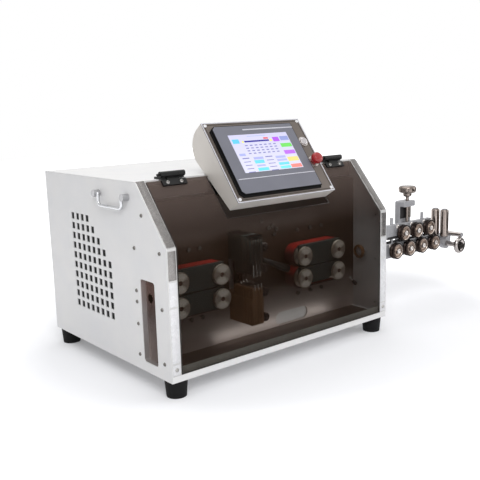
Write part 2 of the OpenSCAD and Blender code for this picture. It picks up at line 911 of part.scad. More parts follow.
module upper_block(x, pitch) {
  feed_block(x, pitch, 1, axis_off + pulley_r + 3, plate_y - clear);
  block(
    [x - boss_w / 2, plate_y - clear - 1, upper_z - boss_h / 2],
    [x + boss_w / 2, plate_back + 6, upper_z + boss_h / 2]
  );
}

module left_upper_block() {
  color("darkslategray") place() upper_block(left_x, left_pitch);
}

module right_upper_block() {
  color("darkslategray") place() upper_block(right_x, right_pitch);
}

module left_upper_belt() {
  color("firebrick") place() feed_belt(left_x, left_pitch, upper_z);
}

module right_upper_belt() {
  color("firebrick") place() feed_belt(right_x, right_pitch, upper_z);
}

// Gear with straight-sided long teeth; phase 0 has a tooth at the first axis
module gear_outline(phase) {
  step = 360 / gear_teeth;
  deep = 3.3;
  tall = 2.6;
  root = axis_off - deep;
  tip = axis_off + tall;
  root_w = 0.27 * step;
  tip_w = 0.085 * step;
  polygon([
    for (i = [0 : gear_teeth - 1], q = [[-root_w, root], [-tip_w, tip], [tip_w, tip], [root_w, root]])
      q[1] * [cos(phase + i * step + q[0]), sin(phase + i * step + q[0])]
  ]);
}

// Pulley with its shaft and end cap; a drive pulley also carries a gear behind the main plate
module feed_pulley(x, z, end, gear, phase) {
  rod_y(x, z, cap_r, cap_y, cap_y + cap_t);
  rod_y(x, z, shaft_r, cap_y, end);
  rod_y(x, z, pulley_r, drum_y, drum_y + drum_w);
  if (gear) translate([x, 0, z]) along_y(gear_y, gear_y + gear_w) gear_outline(phase);
}

module left_lower_drive_pulley() {
  color("silver") place() feed_pulley(left_drive_x, lower_z, lower_drive_end, true, half_tooth);
}

module left_lower_idler_pulley() {
  color("silver") place() feed_pulley(left_idle_x, lower_z, idler_end, false, 0);
}

module left_upper_drive_pulley() {
  color("silver") place() feed_pulley(left_drive_x, upper_z, upper_drive_end, true, 0);
}

module left_upper_idler_pulley() {
  color("silver") place() feed_pulley(left_idle_x, upper_z, idler_end, false, 0);
}

module right_lower_drive_pulley() {
  color("silver") place() feed_pulley(right_drive_x, lower_z, lower_drive_end, true, half_tooth);
}

module right_lower_idler_pulley() {
  color("silver") place() feed_pulley(right_idle_x, lower_z, idler_end, false, 0);
}

module right_upper_drive_pulley() {
  color("silver") place() feed_pulley(right_drive_x, upper_z, upper_drive_end, true, 0);
}

module right_upper_idler_pulley() {
  color("silver") place() feed_pulley(right_idle_x, upper_z, idler_end, false, 0);
}

module at_rods() {
  for (s = [-1, 1]) translate([cutter_x + s * rod_pitch / 2, screw_y, 0]) children();
}

// Two brackets behind the main plate that hold the upright guide rods
module cutter_frame() {
  color("dimgray") place() {
    for (low = [wire_z - bracket_low - bracket_t, wire_z + bracket_low]) difference() {
      block(
        [cutter_x - nut_w / 2, plate_back, low],
        [cutter_x + nut_w / 2, screw_y + nut_d / 2, low + bracket_t]
      );
      rod_z(cutter_x, screw_y, cut_screw_r + fit, low - 1, low + bracket_t + 1);
    }
    at_rods() rod_z(0, 0, rod_r, wire_z - bracket_low - 4, wire_z + bracket_low + 4);
  }
}

module cutter_screw() {
  low = wire_z - bracket_low - bracket_t + 2;
  color("silver") place()
    rod_z(cutter_x, screw_y, cut_screw_r, low, wire_z + bracket_low + bracket_t + motor_gap + 8);
}

module at_wire() {
  translate([cutter_x, 0, wire_z]) children();
}

// Holder above the wire line: block, slotted tongue, nut block and two clamp knobs at the given heights
module blade_holder(shift, clamps) {
  difference() {
    union() {
      block(
        [-holder_w / 2, holder_front, block_low],
        [holder_w / 2, screw_y - nut_d / 2 + 1, block_top]
      );
      block(
        [2 - holder_w / 2, holder_front, tongue_low],
        [holder_w / 2 - 2, holder_front + tongue_d, block_low + 1]
      );
      block([-nut_w / 2, screw_y - nut_d / 2, nut_low], [nut_w / 2, screw_y + nut_d / 2, nut_low + nut_h]);
      for (up = clamps) {
        rod_y(clamp_x, up, clamp_r, holder_front + 3, holder_front + 13);
        block([holder_w / 2 - 4, holder_front + 5, up - 3], [clamp_x, holder_front + 11, up + 3]);
      }
    }
    for (s = [-1, 1])
      rod_z(s * rod_pitch / 2, screw_y, rod_r + fit, nut_low - 1, nut_low + nut_h + 1);
    rod_z(0, screw_y, cut_screw_r + fit, nut_low - 1, nut_low + nut_h + 1);
    for (i = [-1 : 1]) translate([i * blade_step + shift, 0, 0]) block(
      [-blade_t / 2 - fit, holder_front - 1, tongue_low - 1],
      [blade_t / 2 + fit, holder_front + blade_d + fit, blade_top + fit]
    );
  }
}

// Three plates with a shallow notch over the wire line
module blade_set(shift) {
  edge = blade_gap / 2;
  for (i = [-1 : 1]) translate([i * blade_step + shift, 0, 0]) along_x(-blade_t / 2, blade_t / 2) polygon([
    [holder_front, edge], [wire_y - 6, edge], [wire_y, edge + 5], [wire_y + 6, edge],
    [holder_front + blade_d, edge], [holder_front + blade_d, blade_top], [holder_front, blade_top]
  ]);
}

module upper_blade_holder() {
  color("black") place() at_wire() blade_holder(0, [20, 63]);
}

module upper_blades() {
  color("silver") place() at_wire() blade_set(0);
}

module lower_blade_holder() {
  color("darkgoldenrod") place() at_wire() mirror([0, 0, 1]) blade_holder(blade_shift, [27, 78]);
}

module lower_blades() {
  color("silver") place() at_wire() mirror([0, 0, 1]) blade_set(blade_shift);
}

module guide_tube() {
  color("dimgray") place() translate([tube_x, wire_y, wire_z]) rotate([0, tube_rise, 0]) difference() {
    union() {
      translate([tube_back, 0, 0]) rotate([0, -90, 0])
        cylinder(r1 = tube_r, r2 = tube_bore_r + 1.5, h = tube_len + tube_back);
      rod_y(0, 0, tube_hub_r, 0, plate_y - wire_y - 2);
    }
    rod_x(0, 0, tube_bore_r, -tube_len - 1, tube_back + 1);
    rod_y(0, 0, tube_pin_r + fit, 9.5, plate_y - wire_y);
  }
}

// Motor on four standoffs, its axis along +z from the face it is mounted on
module motor(standoff) {
  difference() {
    translate([0, 0, standoff]) linear_extrude(motor_l) round_rect(motor_w, motor_w, 5);
    translate([0, 0, standoff - 1]) cylinder(r = max(shaft_r, cut_screw_r) + clear, h = 12);
  }
  for (sx = [-1, 1], sy = [-1, 1]) translate([sx * motor_bolt, sy * motor_bolt, 0])
    cylinder(r = 4, h = standoff + 1);
}

module stepper_motors() {
  color("dimgray") place() {
    for (x = [left_drive_x, right_drive_x]) translate([x, plate_back, lower_z]) rotate([-90, 0, 0])
      motor(motor_y - plate_back);
    translate([cutter_x, screw_y, wire_z + bracket_low + bracket_t]) motor(motor_gap);
  }
}

// Power supply, and the control board on four standoffs
module drive_electronics() {
  color("darkseagreen") place() {
    translate([supply_at[0], supply_at[1], floor_z]) cube([supply_w, supply_d, supply_h]);
    translate([board_at[0], board_at[1], floor_z]) {
      translate([0, 0, board_lift]) cube([board_w, board_d, board_t]);
      for (x = [8, board_w - 8], y = [8, board_d - 8])
        translate([x, y, 0]) cylinder(r = 4, h = board_lift + 1);
      translate([board_w / 10, board_d / 6, board_lift + 1]) cube(heat_sink);
      translate([board_w / 2, board_d / 4, board_lift + 1]) cube(driver_row);
    }
  }
}

// Inlet and switch frame in one moulding, with three contact pins
module power_inlet() {
  z = z0 + inlet_up;
  color("black") place() {
    difference() {
      union() {
        along_y(body_d, body_d + inlet_lip) translate([(inlet_left + inlet_right) / 2, z])
          round_rect(inlet_right - inlet_left, inlet_tall, 3);
        block(
          [inlet_x - inlet_w / 2 + fit, body_d - inlet_depth, z - inlet_h / 2 + fit],
          [inlet_x + inlet_w / 2 - fit, body_d + 1, z + inlet_h / 2 - fit]
        );
        block(
          [switch_x - switch_case[0] / 2 + fit, body_d - 18, z - switch_case[1] / 2 + fit],
          [switch_x + switch_case[0] / 2 - fit, body_d + 1, z + switch_case[1] / 2 - fit]
        );
      }
      block(
        [inlet_x - inlet_w / 2 + inlet_wall, body_d - 20, z - inlet_h / 2 + inlet_wall],
        [inlet_x + inlet_w / 2 - inlet_wall, body_d + inlet_lip + 1, z + inlet_h / 2 - inlet_wall]
      );
      block(
        [switch_x - switch_room[0] / 2, body_d - 14, z - switch_room[1] / 2],
        [switch_x + switch_room[0] / 2, body_d + inlet_lip + 1, z + switch_room[1] / 2]
      );
      translate([switch_x, 0, 0])
        rod_x(body_d - inlet_lip, z, switch_pin_r + fit, -switch_w / 2 - 1.5, switch_w / 2 + 1.5);
    }
    for (d = [[-7, -2], [0, 3], [7, -2]])
      rod_y(inlet_x + d[0], z + d[1], 1.5, body_d - 21, body_d - 4);
  }
}

// Rocker drawn switched off, turning on two small pins
module mains_switch() {
  color("black") place()
    translate([switch_x, body_d - inlet_lip, z0 + inlet_up]) rotate([switch_tilt, 0, 0]) {
      cube([switch_w, 9, switch_h], center = true);
      rod_x(0, 0, switch_pin_r, -switch_w / 2 - 1.2, switch_w / 2 + 1.2);
    }
}

// Headed pin a roller turns on, with a spacer against its bar
module roller_axle(x, z) {
  head_y = roller_y - axle_head_t - clear;
  rod_y(x, z, axle_r, head_y, bar_y + 1);
  rod_y(x, z, axle_head_r, head_y, head_y + axle_head_t);
  rod_y(x, z, axle_head_r, roller_y + roller_w + clear, bar_y + 1);
}

module straightener_base() {
  inner = body_w - inner_x - 6;
  outer = body_w + mount_t;
  shelf_top = upright_z - 1;
  upright_top = upright_z + upright_h;
  bar_end = upright_x - upright_r - 1;
  color("lightgray") place() difference() {
    union() {
      block(
        [body_w, wire_y - mount_front, bar_low_z - mount_drop],
        [outer, bar_back + leg_t, wire_z + mount_rise]
      );
      rod_x(wire_y, wire_z, spigot_r, inner, outer);
      block([body_w, bar_y, bar_low_z], [bar_end, bar_back, bar_low_z + bar_h]);
      block(
        [press_x - arm_w / 2, bar_back, bar_low_z + 4],
        [press_x + arm_w / 2, bar_back + leg_t, arm_z + arm_t / 2]
      );
      along_y(press_y - arm_reach, bar_back + leg_t) translate([press_x, arm_z + arm_t / 2])
        round_rect(arm_w, arm_t, arm_r);
      block([bar_end - 9, bar_y, bar_low_z + 4], [end_x, bar_y + end_plate_t, shelf_top]);
      rod_y(support_x, end_knob_z, end_boss_r, bar_y, bar_y + end_plate_t);
      block(
        [upright_x - 4, wire_y - upright_off - 10, shelf_top - shelf_t],
        [upright_x + 14, bar_y + end_plate_t, shelf_top]
      );
      for (x = pin_x) rod_z(x, press_y, pin_r, bar_low_z + bar_h - 1, pin_top);
      for (i = [0 : 3]) roller_axle(roller_x0 + i * roller_pitch, wire_z - roller_rise);
      for (s = [-1, 1]) translate([upright_x, wire_y + s * upright_off, 0]) {
        rod_z(0, 0, upright_axle_r, shelf_top - 1, upright_top + 2.5);
        rod_z(0, 0, upright_axle_r + 2, shelf_top - 1, upright_z - clear);
        rod_z(0, 0, upright_axle_r + 2, upright_top + clear, upright_top + 2.5);
      }
      rod_y(support_x, support_z, support_axle_r, support_front - 2.5, bar_y + 1);
      rod_y(support_x, support_z, support_axle_r + 2, support_front - 2.5, support_front - clear);
      rod_y(support_x, support_z, support_axle_r + 6, bar_y, bar_y + end_plate_t);
    }
    rod_x(wire_y, wire_z, spigot_bore_r, inner - 1, outer + 1);
    rod_z(press_x, press_y, press_r + fit, arm_z - 1, arm_z + arm_t + 1);
    rod_y(support_x, end_knob_z, end_shank_r + fit, bar_y - 1, bar_y + end_plate_t + 1);
  }
}

module straightener_slide() {
  top = bar_up_z + bar_h;
  color("lightgray") place() difference() {
    union() {
      block([slide_x[0], bar_y, bar_up_z], [slide_x[1], bar_back - 0.5, top]);
      for (i = [0 : 2]) roller_axle(upper_x0 + i * roller_pitch, wire_z + roller_rise);
    }
    for (x = pin_x) rod_z(x, press_y, pin_r + fit, bar_up_z - 1, top + 1);
    rod_z(press_x, press_y, press_r + fit, top - press_seat, top + 1);
  }
}

module pressure_knob() {
  color("silver") place() {
    rod_z(press_x, press_y, press_r, bar_up_z + bar_h - press_seat + clear, hub_z + 1);
    rod_z(press_x, press_y, hub_r, hub_z, hub_z + hub_h + 1);
    rod_z(press_x, press_y, knob_r, hub_z + hub_h, hub_z + hub_h + knob_t);
  }
}

// Roller with a V groove round its middle
module grooved_roller(x, z) {
  mid = roller_w / 2;
  color("darkgoldenrod") place() translate([x, roller_y, z]) rotate([-90, 0, 0]) rotate_extrude() polygon([
    [axle_r + fit, 0], [roller_r - 1, 0], [roller_r, 1], [roller_r, mid - groove], [roller_r - groove, mid],
    [roller_r, mid + groove], [roller_r, roller_w - 1], [roller_r - 1, roller_w], [axle_r + fit, roller_w]
  ]);
}

module lower_roller(i) {
  grooved_roller(roller_x0 + i * roller_pitch, wire_z - roller_rise);
}

module upper_roller(i) {
  grooved_roller(upper_x0 + i * roller_pitch, wire_z + roller_rise);
}

module upright_roller(side) {
  color("silver") place() translate([upright_x, wire_y + side * upright_off, upright_z]) difference() {
    cylinder(r = upright_r, h = upright_h);
    translate([0, 0, -1]) cylinder(r = upright_axle_r + fit, h = upright_h + 2);
  }
}

module support_roller() {
  color("silver") place() difference() {
    rod_y(support_x, support_z, support_r, support_front, bar_y - clear);
    rod_y(support_x, support_z, support_axle_r + fit, support_front - 1, bar_y);
  }
}

module end_knob() {
  back = bar_y + end_plate_t;
  color("silver") place() {
    rod_y(support_x, end_knob_z, end_knob_r, support_front - 1, support_front - 1 + end_knob_t);
    rod_y(support_x, end_knob_z, end_shank_r, support_front, back + 6);
    rod_y(support_x, end_knob_z, end_shank_r + 3, back + clear, back + 6);
  }
}

base_tray();
left_side_panel();
right_side_panel();
rear_panel();
top_cover();
side_frame_plates();
main_plate();
rubber_feet();
case_screws();
display_housing();
display_plate();
touch_panel();
button_collars();
roof_hinge_leaves();
handle_brackets();
lower_feed_blocks();
lower_feed_belts();
cutter_frame();
stepper_motors();
drive_electronics();
power_inlet();
straightener_base();
front_cover();
cover_hinge_leaves();
left_handle();
right_handle();
power_button();
emergency_stop();
mains_switch();
left_upper_block();
left_upper_belt();
right_upper_block();
right_upper_belt();
left_lower_drive_pulley();
left_lower_idler_pulley();
left_upper_drive_pulley();
left_upper_idler_pulley();
right_lower_drive_pulley();
right_lower_idler_pulley();
right_upper_drive_pulley();
right_upper_idler_pulley();
cutter_screw();
upper_blade_holder();
upper_blades();
lower_blade_holder();
lower_blades();
guide_tube();
straightener_slide();
pressure_knob();
lower_roller(0);  // lower_roller_1
lower_roller(1);  // lower_roller_2
lower_roller(2);  // lower_roller_3
lower_roller(3);  // lower_roller_4
upper_roller(0);  // upper_roller_1
upper_roller(1);  // upper_roller_2
upper_roller(2);  // upper_roller_3
upright_roller(-1);  // front_upright_roller
upright_roller(1);  // rear_upright_roller
support_roller();
end_knob();
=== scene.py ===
import json
import bmesh
import bpy
import numpy as np
from mathutils import Matrix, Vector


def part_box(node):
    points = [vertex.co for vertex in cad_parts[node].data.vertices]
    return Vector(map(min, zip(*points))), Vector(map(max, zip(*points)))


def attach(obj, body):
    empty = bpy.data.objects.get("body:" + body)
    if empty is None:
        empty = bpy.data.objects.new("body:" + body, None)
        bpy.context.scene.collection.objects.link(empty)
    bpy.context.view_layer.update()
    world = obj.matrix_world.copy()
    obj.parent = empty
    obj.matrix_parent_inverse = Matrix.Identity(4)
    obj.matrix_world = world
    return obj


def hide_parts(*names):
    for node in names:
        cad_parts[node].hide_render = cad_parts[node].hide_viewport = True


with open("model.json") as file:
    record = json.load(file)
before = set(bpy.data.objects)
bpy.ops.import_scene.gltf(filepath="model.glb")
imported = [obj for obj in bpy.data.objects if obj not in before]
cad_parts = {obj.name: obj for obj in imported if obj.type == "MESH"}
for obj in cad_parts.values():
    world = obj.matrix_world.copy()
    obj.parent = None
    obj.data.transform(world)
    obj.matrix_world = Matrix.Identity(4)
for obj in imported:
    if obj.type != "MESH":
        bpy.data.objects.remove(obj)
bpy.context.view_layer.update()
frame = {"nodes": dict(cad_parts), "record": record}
nodes = frame["nodes"]
print("frame loaded:", len(nodes), "nodes")

mm = 0.001
footMid = np.array([457.0, 231.5, 0.0])  # middle of the footprint, from the case's left front corner
toFront, toLeft, toTop = (0, -1, 0), (-1, 0, 0), (0, 0, 1)


def toMetres(points):
    # millimetres from the left front corner on the floor, to metres in the shared frame
    return (np.asarray(points, float) - footMid) * mm


def spot(x, y, z):
    return toMetres([x, y, z])


def unit(v):
    return np.asarray(v, float) / np.linalg.norm(v)


def intoScene(name, data):
    placed = bpy.data.objects.new(name, data)
    bpy.context.scene.collection.objects.link(placed)
    return placed


def facing(place, right, up, back):
    # matrix of a camera or lamp from its place and its three axes
    return Matrix.Translation(place) @ Matrix((right, up, back)).transposed().to_4x4()


# camera where the photograph was taken from
cameraSet = {
    "place": (-639.9, -982.9, 511.4),
    "right": (0.77121, -0.63595, -0.02827),
    "up": (0.14145, 0.12789, 0.98165),
    "ahead": (0.62067, 0.76106, -0.18858),
    "lens": 52.86,
}
cameraData = bpy.data.cameras.new("photoCamera")
cameraData.lens = cameraSet["lens"]
cameraData.sensor_width = 36
cameraData.clip_start = 0.01
camera = intoScene("photoCamera", cameraData)
back = [-v for v in cameraSet["ahead"]]
camera.matrix_world = facing(spot(*cameraSet["place"]), cameraSet["right"], cameraSet["up"], back)
bpy.context.scene.camera = camera
bpy.context.scene.view_settings.view_transform = "Standard"
print("camera set")


def linearOf(colour):
    # screen colours 0 to 255 to linear light
    c = np.asarray(colour, float) / 255.0
    return np.where(c <= 0.04045, c / 12.92, ((c + 0.055) / 1.055) ** 2.4)


def tint(colour):
    return tuple(linearOf(colour)) + (1.0,)


def emptyTree(owner):
    owner.use_nodes = True
    owner.node_tree.nodes.clear()
    return owner.node_tree


def feed(node, socket, source):
    # another node's output, or a plain value, into one of a node's inputs
    if isinstance(source, bpy.types.NodeSocket):
        node.id_data.links.new(source, node.inputs[socket])
    else:
        node.inputs[socket].default_value = source


def addNode(tree, kind, **settings):
    node = tree.nodes.new(kind)
    for key, value in settings.items():
        if hasattr(node, key):
            setattr(node, key, value)
        else:
            feed(node, key, value)
    return node


def startMaterial(name):
    material = bpy.data.materials.new(name)
    tree = emptyTree(material)
    shader = addNode(tree, "ShaderNodeBsdfPrincipled")
    addNode(tree, "ShaderNodeOutputMaterial", Surface=shader.outputs[0])
    return material, tree, shader


def objectPlace(tree):
    return addNode(tree, "ShaderNodeTexCoord").outputs["Object"]


def axesOf(vector):
    return addNode(vector.id_data, "ShaderNodeSeparateXYZ", Vector=vector).outputs


def spread(source, low, high, lowTo, highTo):
    # straight-line change of range, clamped at both ends
    node = addNode(source.id_data, "ShaderNodeMapRange", clamp=True)
    for i, v in enumerate((source, low, high, lowTo, highTo)):
        feed(node, i, v)
    return node.outputs[0]


def blendColour(factor, first, second):
    node = addNode(factor.id_data, "ShaderNodeMix", data_type="RGBA")
    for i, v in ((0, factor), (6, first), (7, second)):
        feed(node, i, v)
    return node.outputs[2]


def maths(operation, first, second):
    node = addNode(first.id_data, "ShaderNodeMath", operation=operation)
    feed(node, 0, first)
    feed(node, 1, second)
    return node.outputs[0]


def noiseAt(place, scale, detail=3.0, rough=0.55):
    node = addNode(place.id_data, "ShaderNodeTexNoise", Vector=place, Scale=scale, Detail=detail, Roughness=rough)
    return node.outputs["Fac"]


def roundEdge(tree, radius):
    # radius in millimetres
    return addNode(tree, "ShaderNodeBevel", samples=4, Radius=radius * mm).outputs[0]


def grainBump(shader, height, strength, depth, normal=None):
    # depth in millimetres
    bump = addNode(shader.id_data, "ShaderNodeBump", Height=height, Strength=strength, Distance=depth * mm)
    if normal is not None:
        feed(bump, "Normal", normal)
    feed(shader, "Normal", bump.outputs[0])


made = {}  # materials by name
noiseSpan = (0.3, 0.7)  # where most of a noise's values lie
usual = {"patch": 14.0, "bump": 0.2, "depth": 0.2, "wear": 0.6, "metal": 0.0}
sockets = {"metal": "Metallic", "specular": "Specular IOR Level", "coat": "Coat Weight",
           "coatRough": "Coat Roughness"}


def dress(name, look):
    mesh = nodes[name].data
    mesh.materials.clear()
    mesh.materials.append(made[look])


def finish(name, base, other, worn, rough, grainScale, edge, on="", **extra):
    # two patchy colours, grain that may be drawn out into streaks, eased edges that are rubbed paler
    spec = {**usual, **extra}
    material, tree, shader = startMaterial(name)
    place = objectPlace(tree)
    patches = noiseAt(place, spec["patch"], 4.0)
    colour = blendColour(spread(patches, *noiseSpan, 0.0, 1.0), tint(base), tint(other))
    grainPlace = place
    if "streak" in spec:
        grainPlace = addNode(tree, "ShaderNodeMapping", Vector=place, Scale=spec["streak"]).outputs[0]
    grain = noiseAt(grainPlace, grainScale, 2.0)
    if "shade" in spec:
        shadeShare = spread(grain, 0.38, 0.62, 0.0, spec["shadeBy"])
        colour = blendColour(shadeShare, colour, tint(spec["shade"]))
    blotch = noiseAt(place, spec["patch"] * 3.1, 5.0, 0.65)
    mixed = maths("ADD", maths("MULTIPLY", grain, 0.5), maths("MULTIPLY", blotch, 0.5))
    feed(shader, "Roughness", spread(mixed, *noiseSpan, *rough))
    eased = roundEdge(tree, edge)
    agree = addNode(tree, "ShaderNodeVectorMath", operation="DOT_PRODUCT")
    feed(agree, 0, eased)
    normal = addNode(tree, "ShaderNodeNewGeometry").outputs["Normal"]
    feed(agree, 1, normal)
    rub = spread(agree.outputs["Value"], 0.995, 0.9, 0.0, spec["wear"])
    rub = maths("MULTIPLY", rub, spread(blotch, 0.42, 0.62, 0.0, 1.0))
    colour = blendColour(rub, colour, tint(worn))
    # colour towards the bottom between two heights; on the main plate this paler foot is painted light
    if "foot" in spec:
        low = spread(axesOf(place)[2], *spec["footSpan"], 1.0, 0.0)
        colour = blendColour(low, colour, tint(spec["foot"]))
    # painted shade: faces that do not face up turn darker
    if "lowFace" in spec:
        shadeUnderShare = spread(axesOf(normal)[2], 0.2, 0.9, 1.0, 0.0)
        colour = blendColour(shadeUnderShare, colour, tint(spec["lowFace"]))
    feed(shader, "Base Color", colour)
    grainBump(shader, grain, spec["bump"], spec["depth"], eased)
    for key, socket in sockets.items():
        if key in spec:
            feed(shader, socket, spec[key])
    made[name] = material
    for node in on.split():
        dress(node, name)


# base, other and worn colour, roughness range, grain scale, edge radius in millimetres, then what is not as
# usual and the nodes that wear it
finish("casePaint", (226, 226, 227), (232, 231, 230), (205, 205, 204), (0.36, 0.5), 700, 1.1, depth=0.12, wear=0.35,
    on="base_tray left_side_panel right_side_panel rear_panel top_cover")
finish("brushedStrip", (216, 215, 214), (200, 199, 198), (240, 239, 238), (0.24, 0.4), 420, 0.7, metal=0.3,
    streak=(6, 1, 1), bump=0.06, depth=0.1, patch=9, shade=(186, 184, 182), shadeBy=0.4,
    on="side_frame_plates cutter_frame")
# the paler foot of the main plate is painted light falling on its lower part
finish("milledPlate", (68, 51, 38), (58, 44, 33), (160, 146, 134), (0.34, 0.5), 260, 0.6, metal=0.3,
    streak=(1, 1, 9), bump=0.08, depth=0.1, patch=7, shade=(44, 33, 25), shadeBy=0.4, foot=(216, 202, 194),
    footSpan=(0.05, 0.14), on="main_plate")
finish("footRubber", (14, 14, 15), (20, 20, 21), (60, 59, 58), (0.6, 0.82), 620, 1.2, bump=0.4, depth=0.3, wear=0.4,
    specular=0.2, on="rubber_feet")
finish("screwDark", (112, 108, 102), (92, 88, 84), (214, 208, 200), (0.22, 0.4), 1500, 0.3, metal=0.9, bump=0.1,
    wear=0.8)
finish("caseScrew", (236, 236, 238), (226, 226, 228), (214, 208, 200), (0.22, 0.36), 1500, 0.3, metal=0.15,
    bump=0.1, wear=0.4, foot=(104, 100, 95), footSpan=(0.329, 0.333), on="case_screws")
finish("uprightSteel", (156, 146, 140), (138, 128, 122), (230, 224, 220), (0.1, 0.2), 900, 0.6, metal=1,
    streak=(1, 1, 0.1), bump=0.03, depth=0.1)
finish("knobSteel", (136, 126, 120), (118, 109, 103), (226, 220, 215), (0.12, 0.24), 900, 0.8, metal=1, bump=0.04,
    depth=0.1)
finish("gapDark", (22, 20, 22), (30, 27, 28), (70, 66, 64), (0.5, 0.7), 500, 0.4)
finish("ribDark", (62, 55, 48), (50, 44, 38), (120, 108, 96), (0.3, 0.45), 420, 0.4, metal=0.4, streak=(5, 1, 0.5),
    bump=0.1)
finish("railBrown", (134, 126, 118), (112, 104, 97), (190, 182, 174), (0.24, 0.4), 420, 0.6, metal=0.7,
    streak=(5, 1, 0.5), bump=0.1)
finish("flangeShadeBrown", (104, 94, 88), (90, 81, 76), (150, 140, 132), (0.4, 0.6), 300, 0.6, bump=0.1, patch=8)
finish("handleChrome", (206, 207, 209), (186, 187, 190), (240, 240, 240), (0.07, 0.16), 1300, 0.8, metal=1,
    bump=0.03, depth=0.1, on="left_handle right_handle")
finish("stripGrey", (150, 147, 145), (128, 125, 123), (240, 239, 238), (0.2, 0.34), 360, 0.9, metal=0.7,
    streak=(7, 1, 0.6), bump=0.06, depth=0.1, wear=0.9, patch=20, shade=(98, 95, 93), shadeBy=0.6)
# paler, less metallic copy of the strip metal: painted reflection on the lower strip segments
finish("stripWhite", (232, 232, 234), (222, 222, 224), (246, 246, 246), (0.2, 0.34), 360, 0.9, metal=0.15,
    streak=(7, 1, 0.6), bump=0.06, depth=0.1, patch=20, shade=(204, 204, 206), shadeBy=0.5)
finish("screwSteel", (186, 184, 180), (160, 158, 155), (230, 228, 224), (0.22, 0.4), 1500, 0.3, metal=1, bump=0.1,
    on="cutter_screw")
finish("housingPaint", (208, 203, 197), (216, 211, 205), (222, 218, 212), (0.34, 0.48), 800, 1, metal=0.1,
    bump=0.16, depth=0.1, wear=0.4, on="display_housing")
finish("plateDark", (106, 97, 91), (116, 107, 100), (160, 152, 146), (0.3, 0.44), 640, 0.6, streak=(1, 5, 5),
    metal=0.5, bump=0.1, depth=0.1, shade=(84, 77, 72), shadeBy=0.35, on="display_plate")
finish("bezelGrey", (103, 104, 114), (110, 111, 121), (150, 151, 156), (0.34, 0.48), 1300, 1.2, bump=0.16,
    depth=0.1, wear=0.3, on="touch_panel")
finish("rimBlack", (10, 10, 11), (15, 15, 16), (40, 40, 42), (0.36, 0.5), 1300, 0.4, bump=0.16, wear=0.2,
    specular=0.08)
finish("linePale", (206, 206, 214), (190, 190, 198), (230, 230, 234), (0.28, 0.42), 1500, 0.3, metal=0.3, bump=0.06,
    patch=40)
finish("collarMetal", (206, 200, 196), (186, 180, 176), (240, 236, 230), (0.22, 0.36), 1400, 0.5, metal=0.9,
    bump=0.08, on="button_collars")
finish("hingeBlack", (13, 13, 13), (19, 18, 18), (90, 87, 84), (0.3, 0.46), 900, 0.6, wear=0.4, specular=0.25,
    on="roof_hinge_leaves cover_hinge_leaves")
finish("bracketMetal", (180, 180, 182), (160, 160, 162), (230, 230, 230), (0.24, 0.4), 1000, 1.4, metal=0.85,
    bump=0.1, on="handle_brackets")
finish("feedDark", (46, 56, 53), (56, 66, 62), (130, 134, 130), (0.34, 0.5), 700, 0.7, metal=0.3, bump=0.14,
    wear=0.5, on="lower_feed_blocks left_upper_block right_upper_block")
# belts darker on their lower faces as painted shade
finish("beltRed", (168, 38, 26), (146, 30, 22), (130, 28, 22), (0.5, 0.7), 380, 0.5, bump=0.3, depth=0.4,
    lowFace=(58, 16, 16), on="lower_feed_belts left_upper_belt right_upper_belt")
finish("motorDark", (40, 40, 42), (52, 52, 54), (120, 120, 122), (0.36, 0.5), 700, 0.6, bump=0.15,
    on="stepper_motors")
finish("boardGreen", (58, 92, 66), (82, 104, 86), (150, 160, 150), (0.36, 0.55), 500, 0.5, bump=0.3, patch=60,
    on="drive_electronics")
finish("inletBlack", (28, 28, 29), (38, 38, 39), (80, 80, 80), (0.34, 0.5), 1400, 0.6, bump=0.25,
    on="power_inlet mains_switch")
finish("castGrey", (186, 186, 189), (164, 164, 168), (232, 231, 230), (0.3, 0.46), 420, 1.4, metal=0.35,
    streak=(1, 1, 3), bump=0.12, patch=18, shade=(120, 119, 120), shadeBy=0.35,
    on="straightener_base straightener_slide")
finish("polishedChrome", (190, 184, 181), (168, 161, 158), (240, 240, 240), (0.06, 0.16), 500, 0.8, metal=1,
    streak=(1, 1, 6), bump=0.03, depth=0.1, shade=(140, 134, 132), shadeBy=0.4,
    on="pressure_knob end_knob support_roller front_upright_roller rear_upright_roller")
finish("buttonSteel", (200, 196, 197), (180, 176, 178), (238, 236, 236), (0.2, 0.34), 1400, 0.8, metal=0.9,
    bump=0.06, on="power_button")
finish("stopRed", (160, 14, 22), (142, 11, 18), (190, 44, 46), (0.18, 0.3), 900, 1, bump=0.05, wear=0.3, coat=0.2,
    coatRough=0.12, on="emergency_stop")
finish("holderBlack", (40, 47, 44), (54, 60, 56), (140, 136, 130), (0.3, 0.48), 700, 0.6, metal=0.3, bump=0.14,
    on="upper_blade_holder")
finish("holderBrass", (150, 112, 78), (128, 94, 64), (210, 176, 128), (0.32, 0.5), 300, 0.6, metal=0.4,
    streak=(1, 1, 6), bump=0.1, wear=0.7, shade=(90, 62, 40), shadeBy=0.4, on="lower_blade_holder")
finish("groundSteel", (196, 190, 184), (172, 166, 160), (236, 233, 230), (0.18, 0.32), 500, 0.3, metal=0.9,
    streak=(1, 1, 8), bump=0.05, on="upper_blades lower_blades")
finish("tubeDark", (40, 42, 40), (52, 52, 50), (140, 124, 114), (0.3, 0.45), 800, 0.5, metal=0.5, bump=0.1,
    on="guide_tube")
finish("pocketPale", (214, 211, 208), (200, 197, 194), (180, 176, 172), (0.4, 0.55), 500, 0.4, bump=0.1, patch=30)
finish("floorBrown", (120, 104, 96), (100, 86, 78), (160, 146, 138), (0.34, 0.5), 420, 0.4, metal=0.3,
    streak=(1, 6, 1), bump=0.1, patch=12)
finish("lipGrey", (128, 126, 118), (114, 112, 105), (160, 158, 150), (0.36, 0.5), 700, 0.4, depth=0.12, wear=0.4)
finish("knobDark", (70, 62, 58), (54, 48, 45), (220, 206, 194), (0.2, 0.34), 900, 0.8, metal=0.8, bump=0.08, wear=1,
    patch=60)
finish("capBright", (232, 226, 222), (206, 198, 192), (250, 248, 246), (0.12, 0.24), 1400, 0.4, metal=0.7,
    bump=0.06, patch=80)
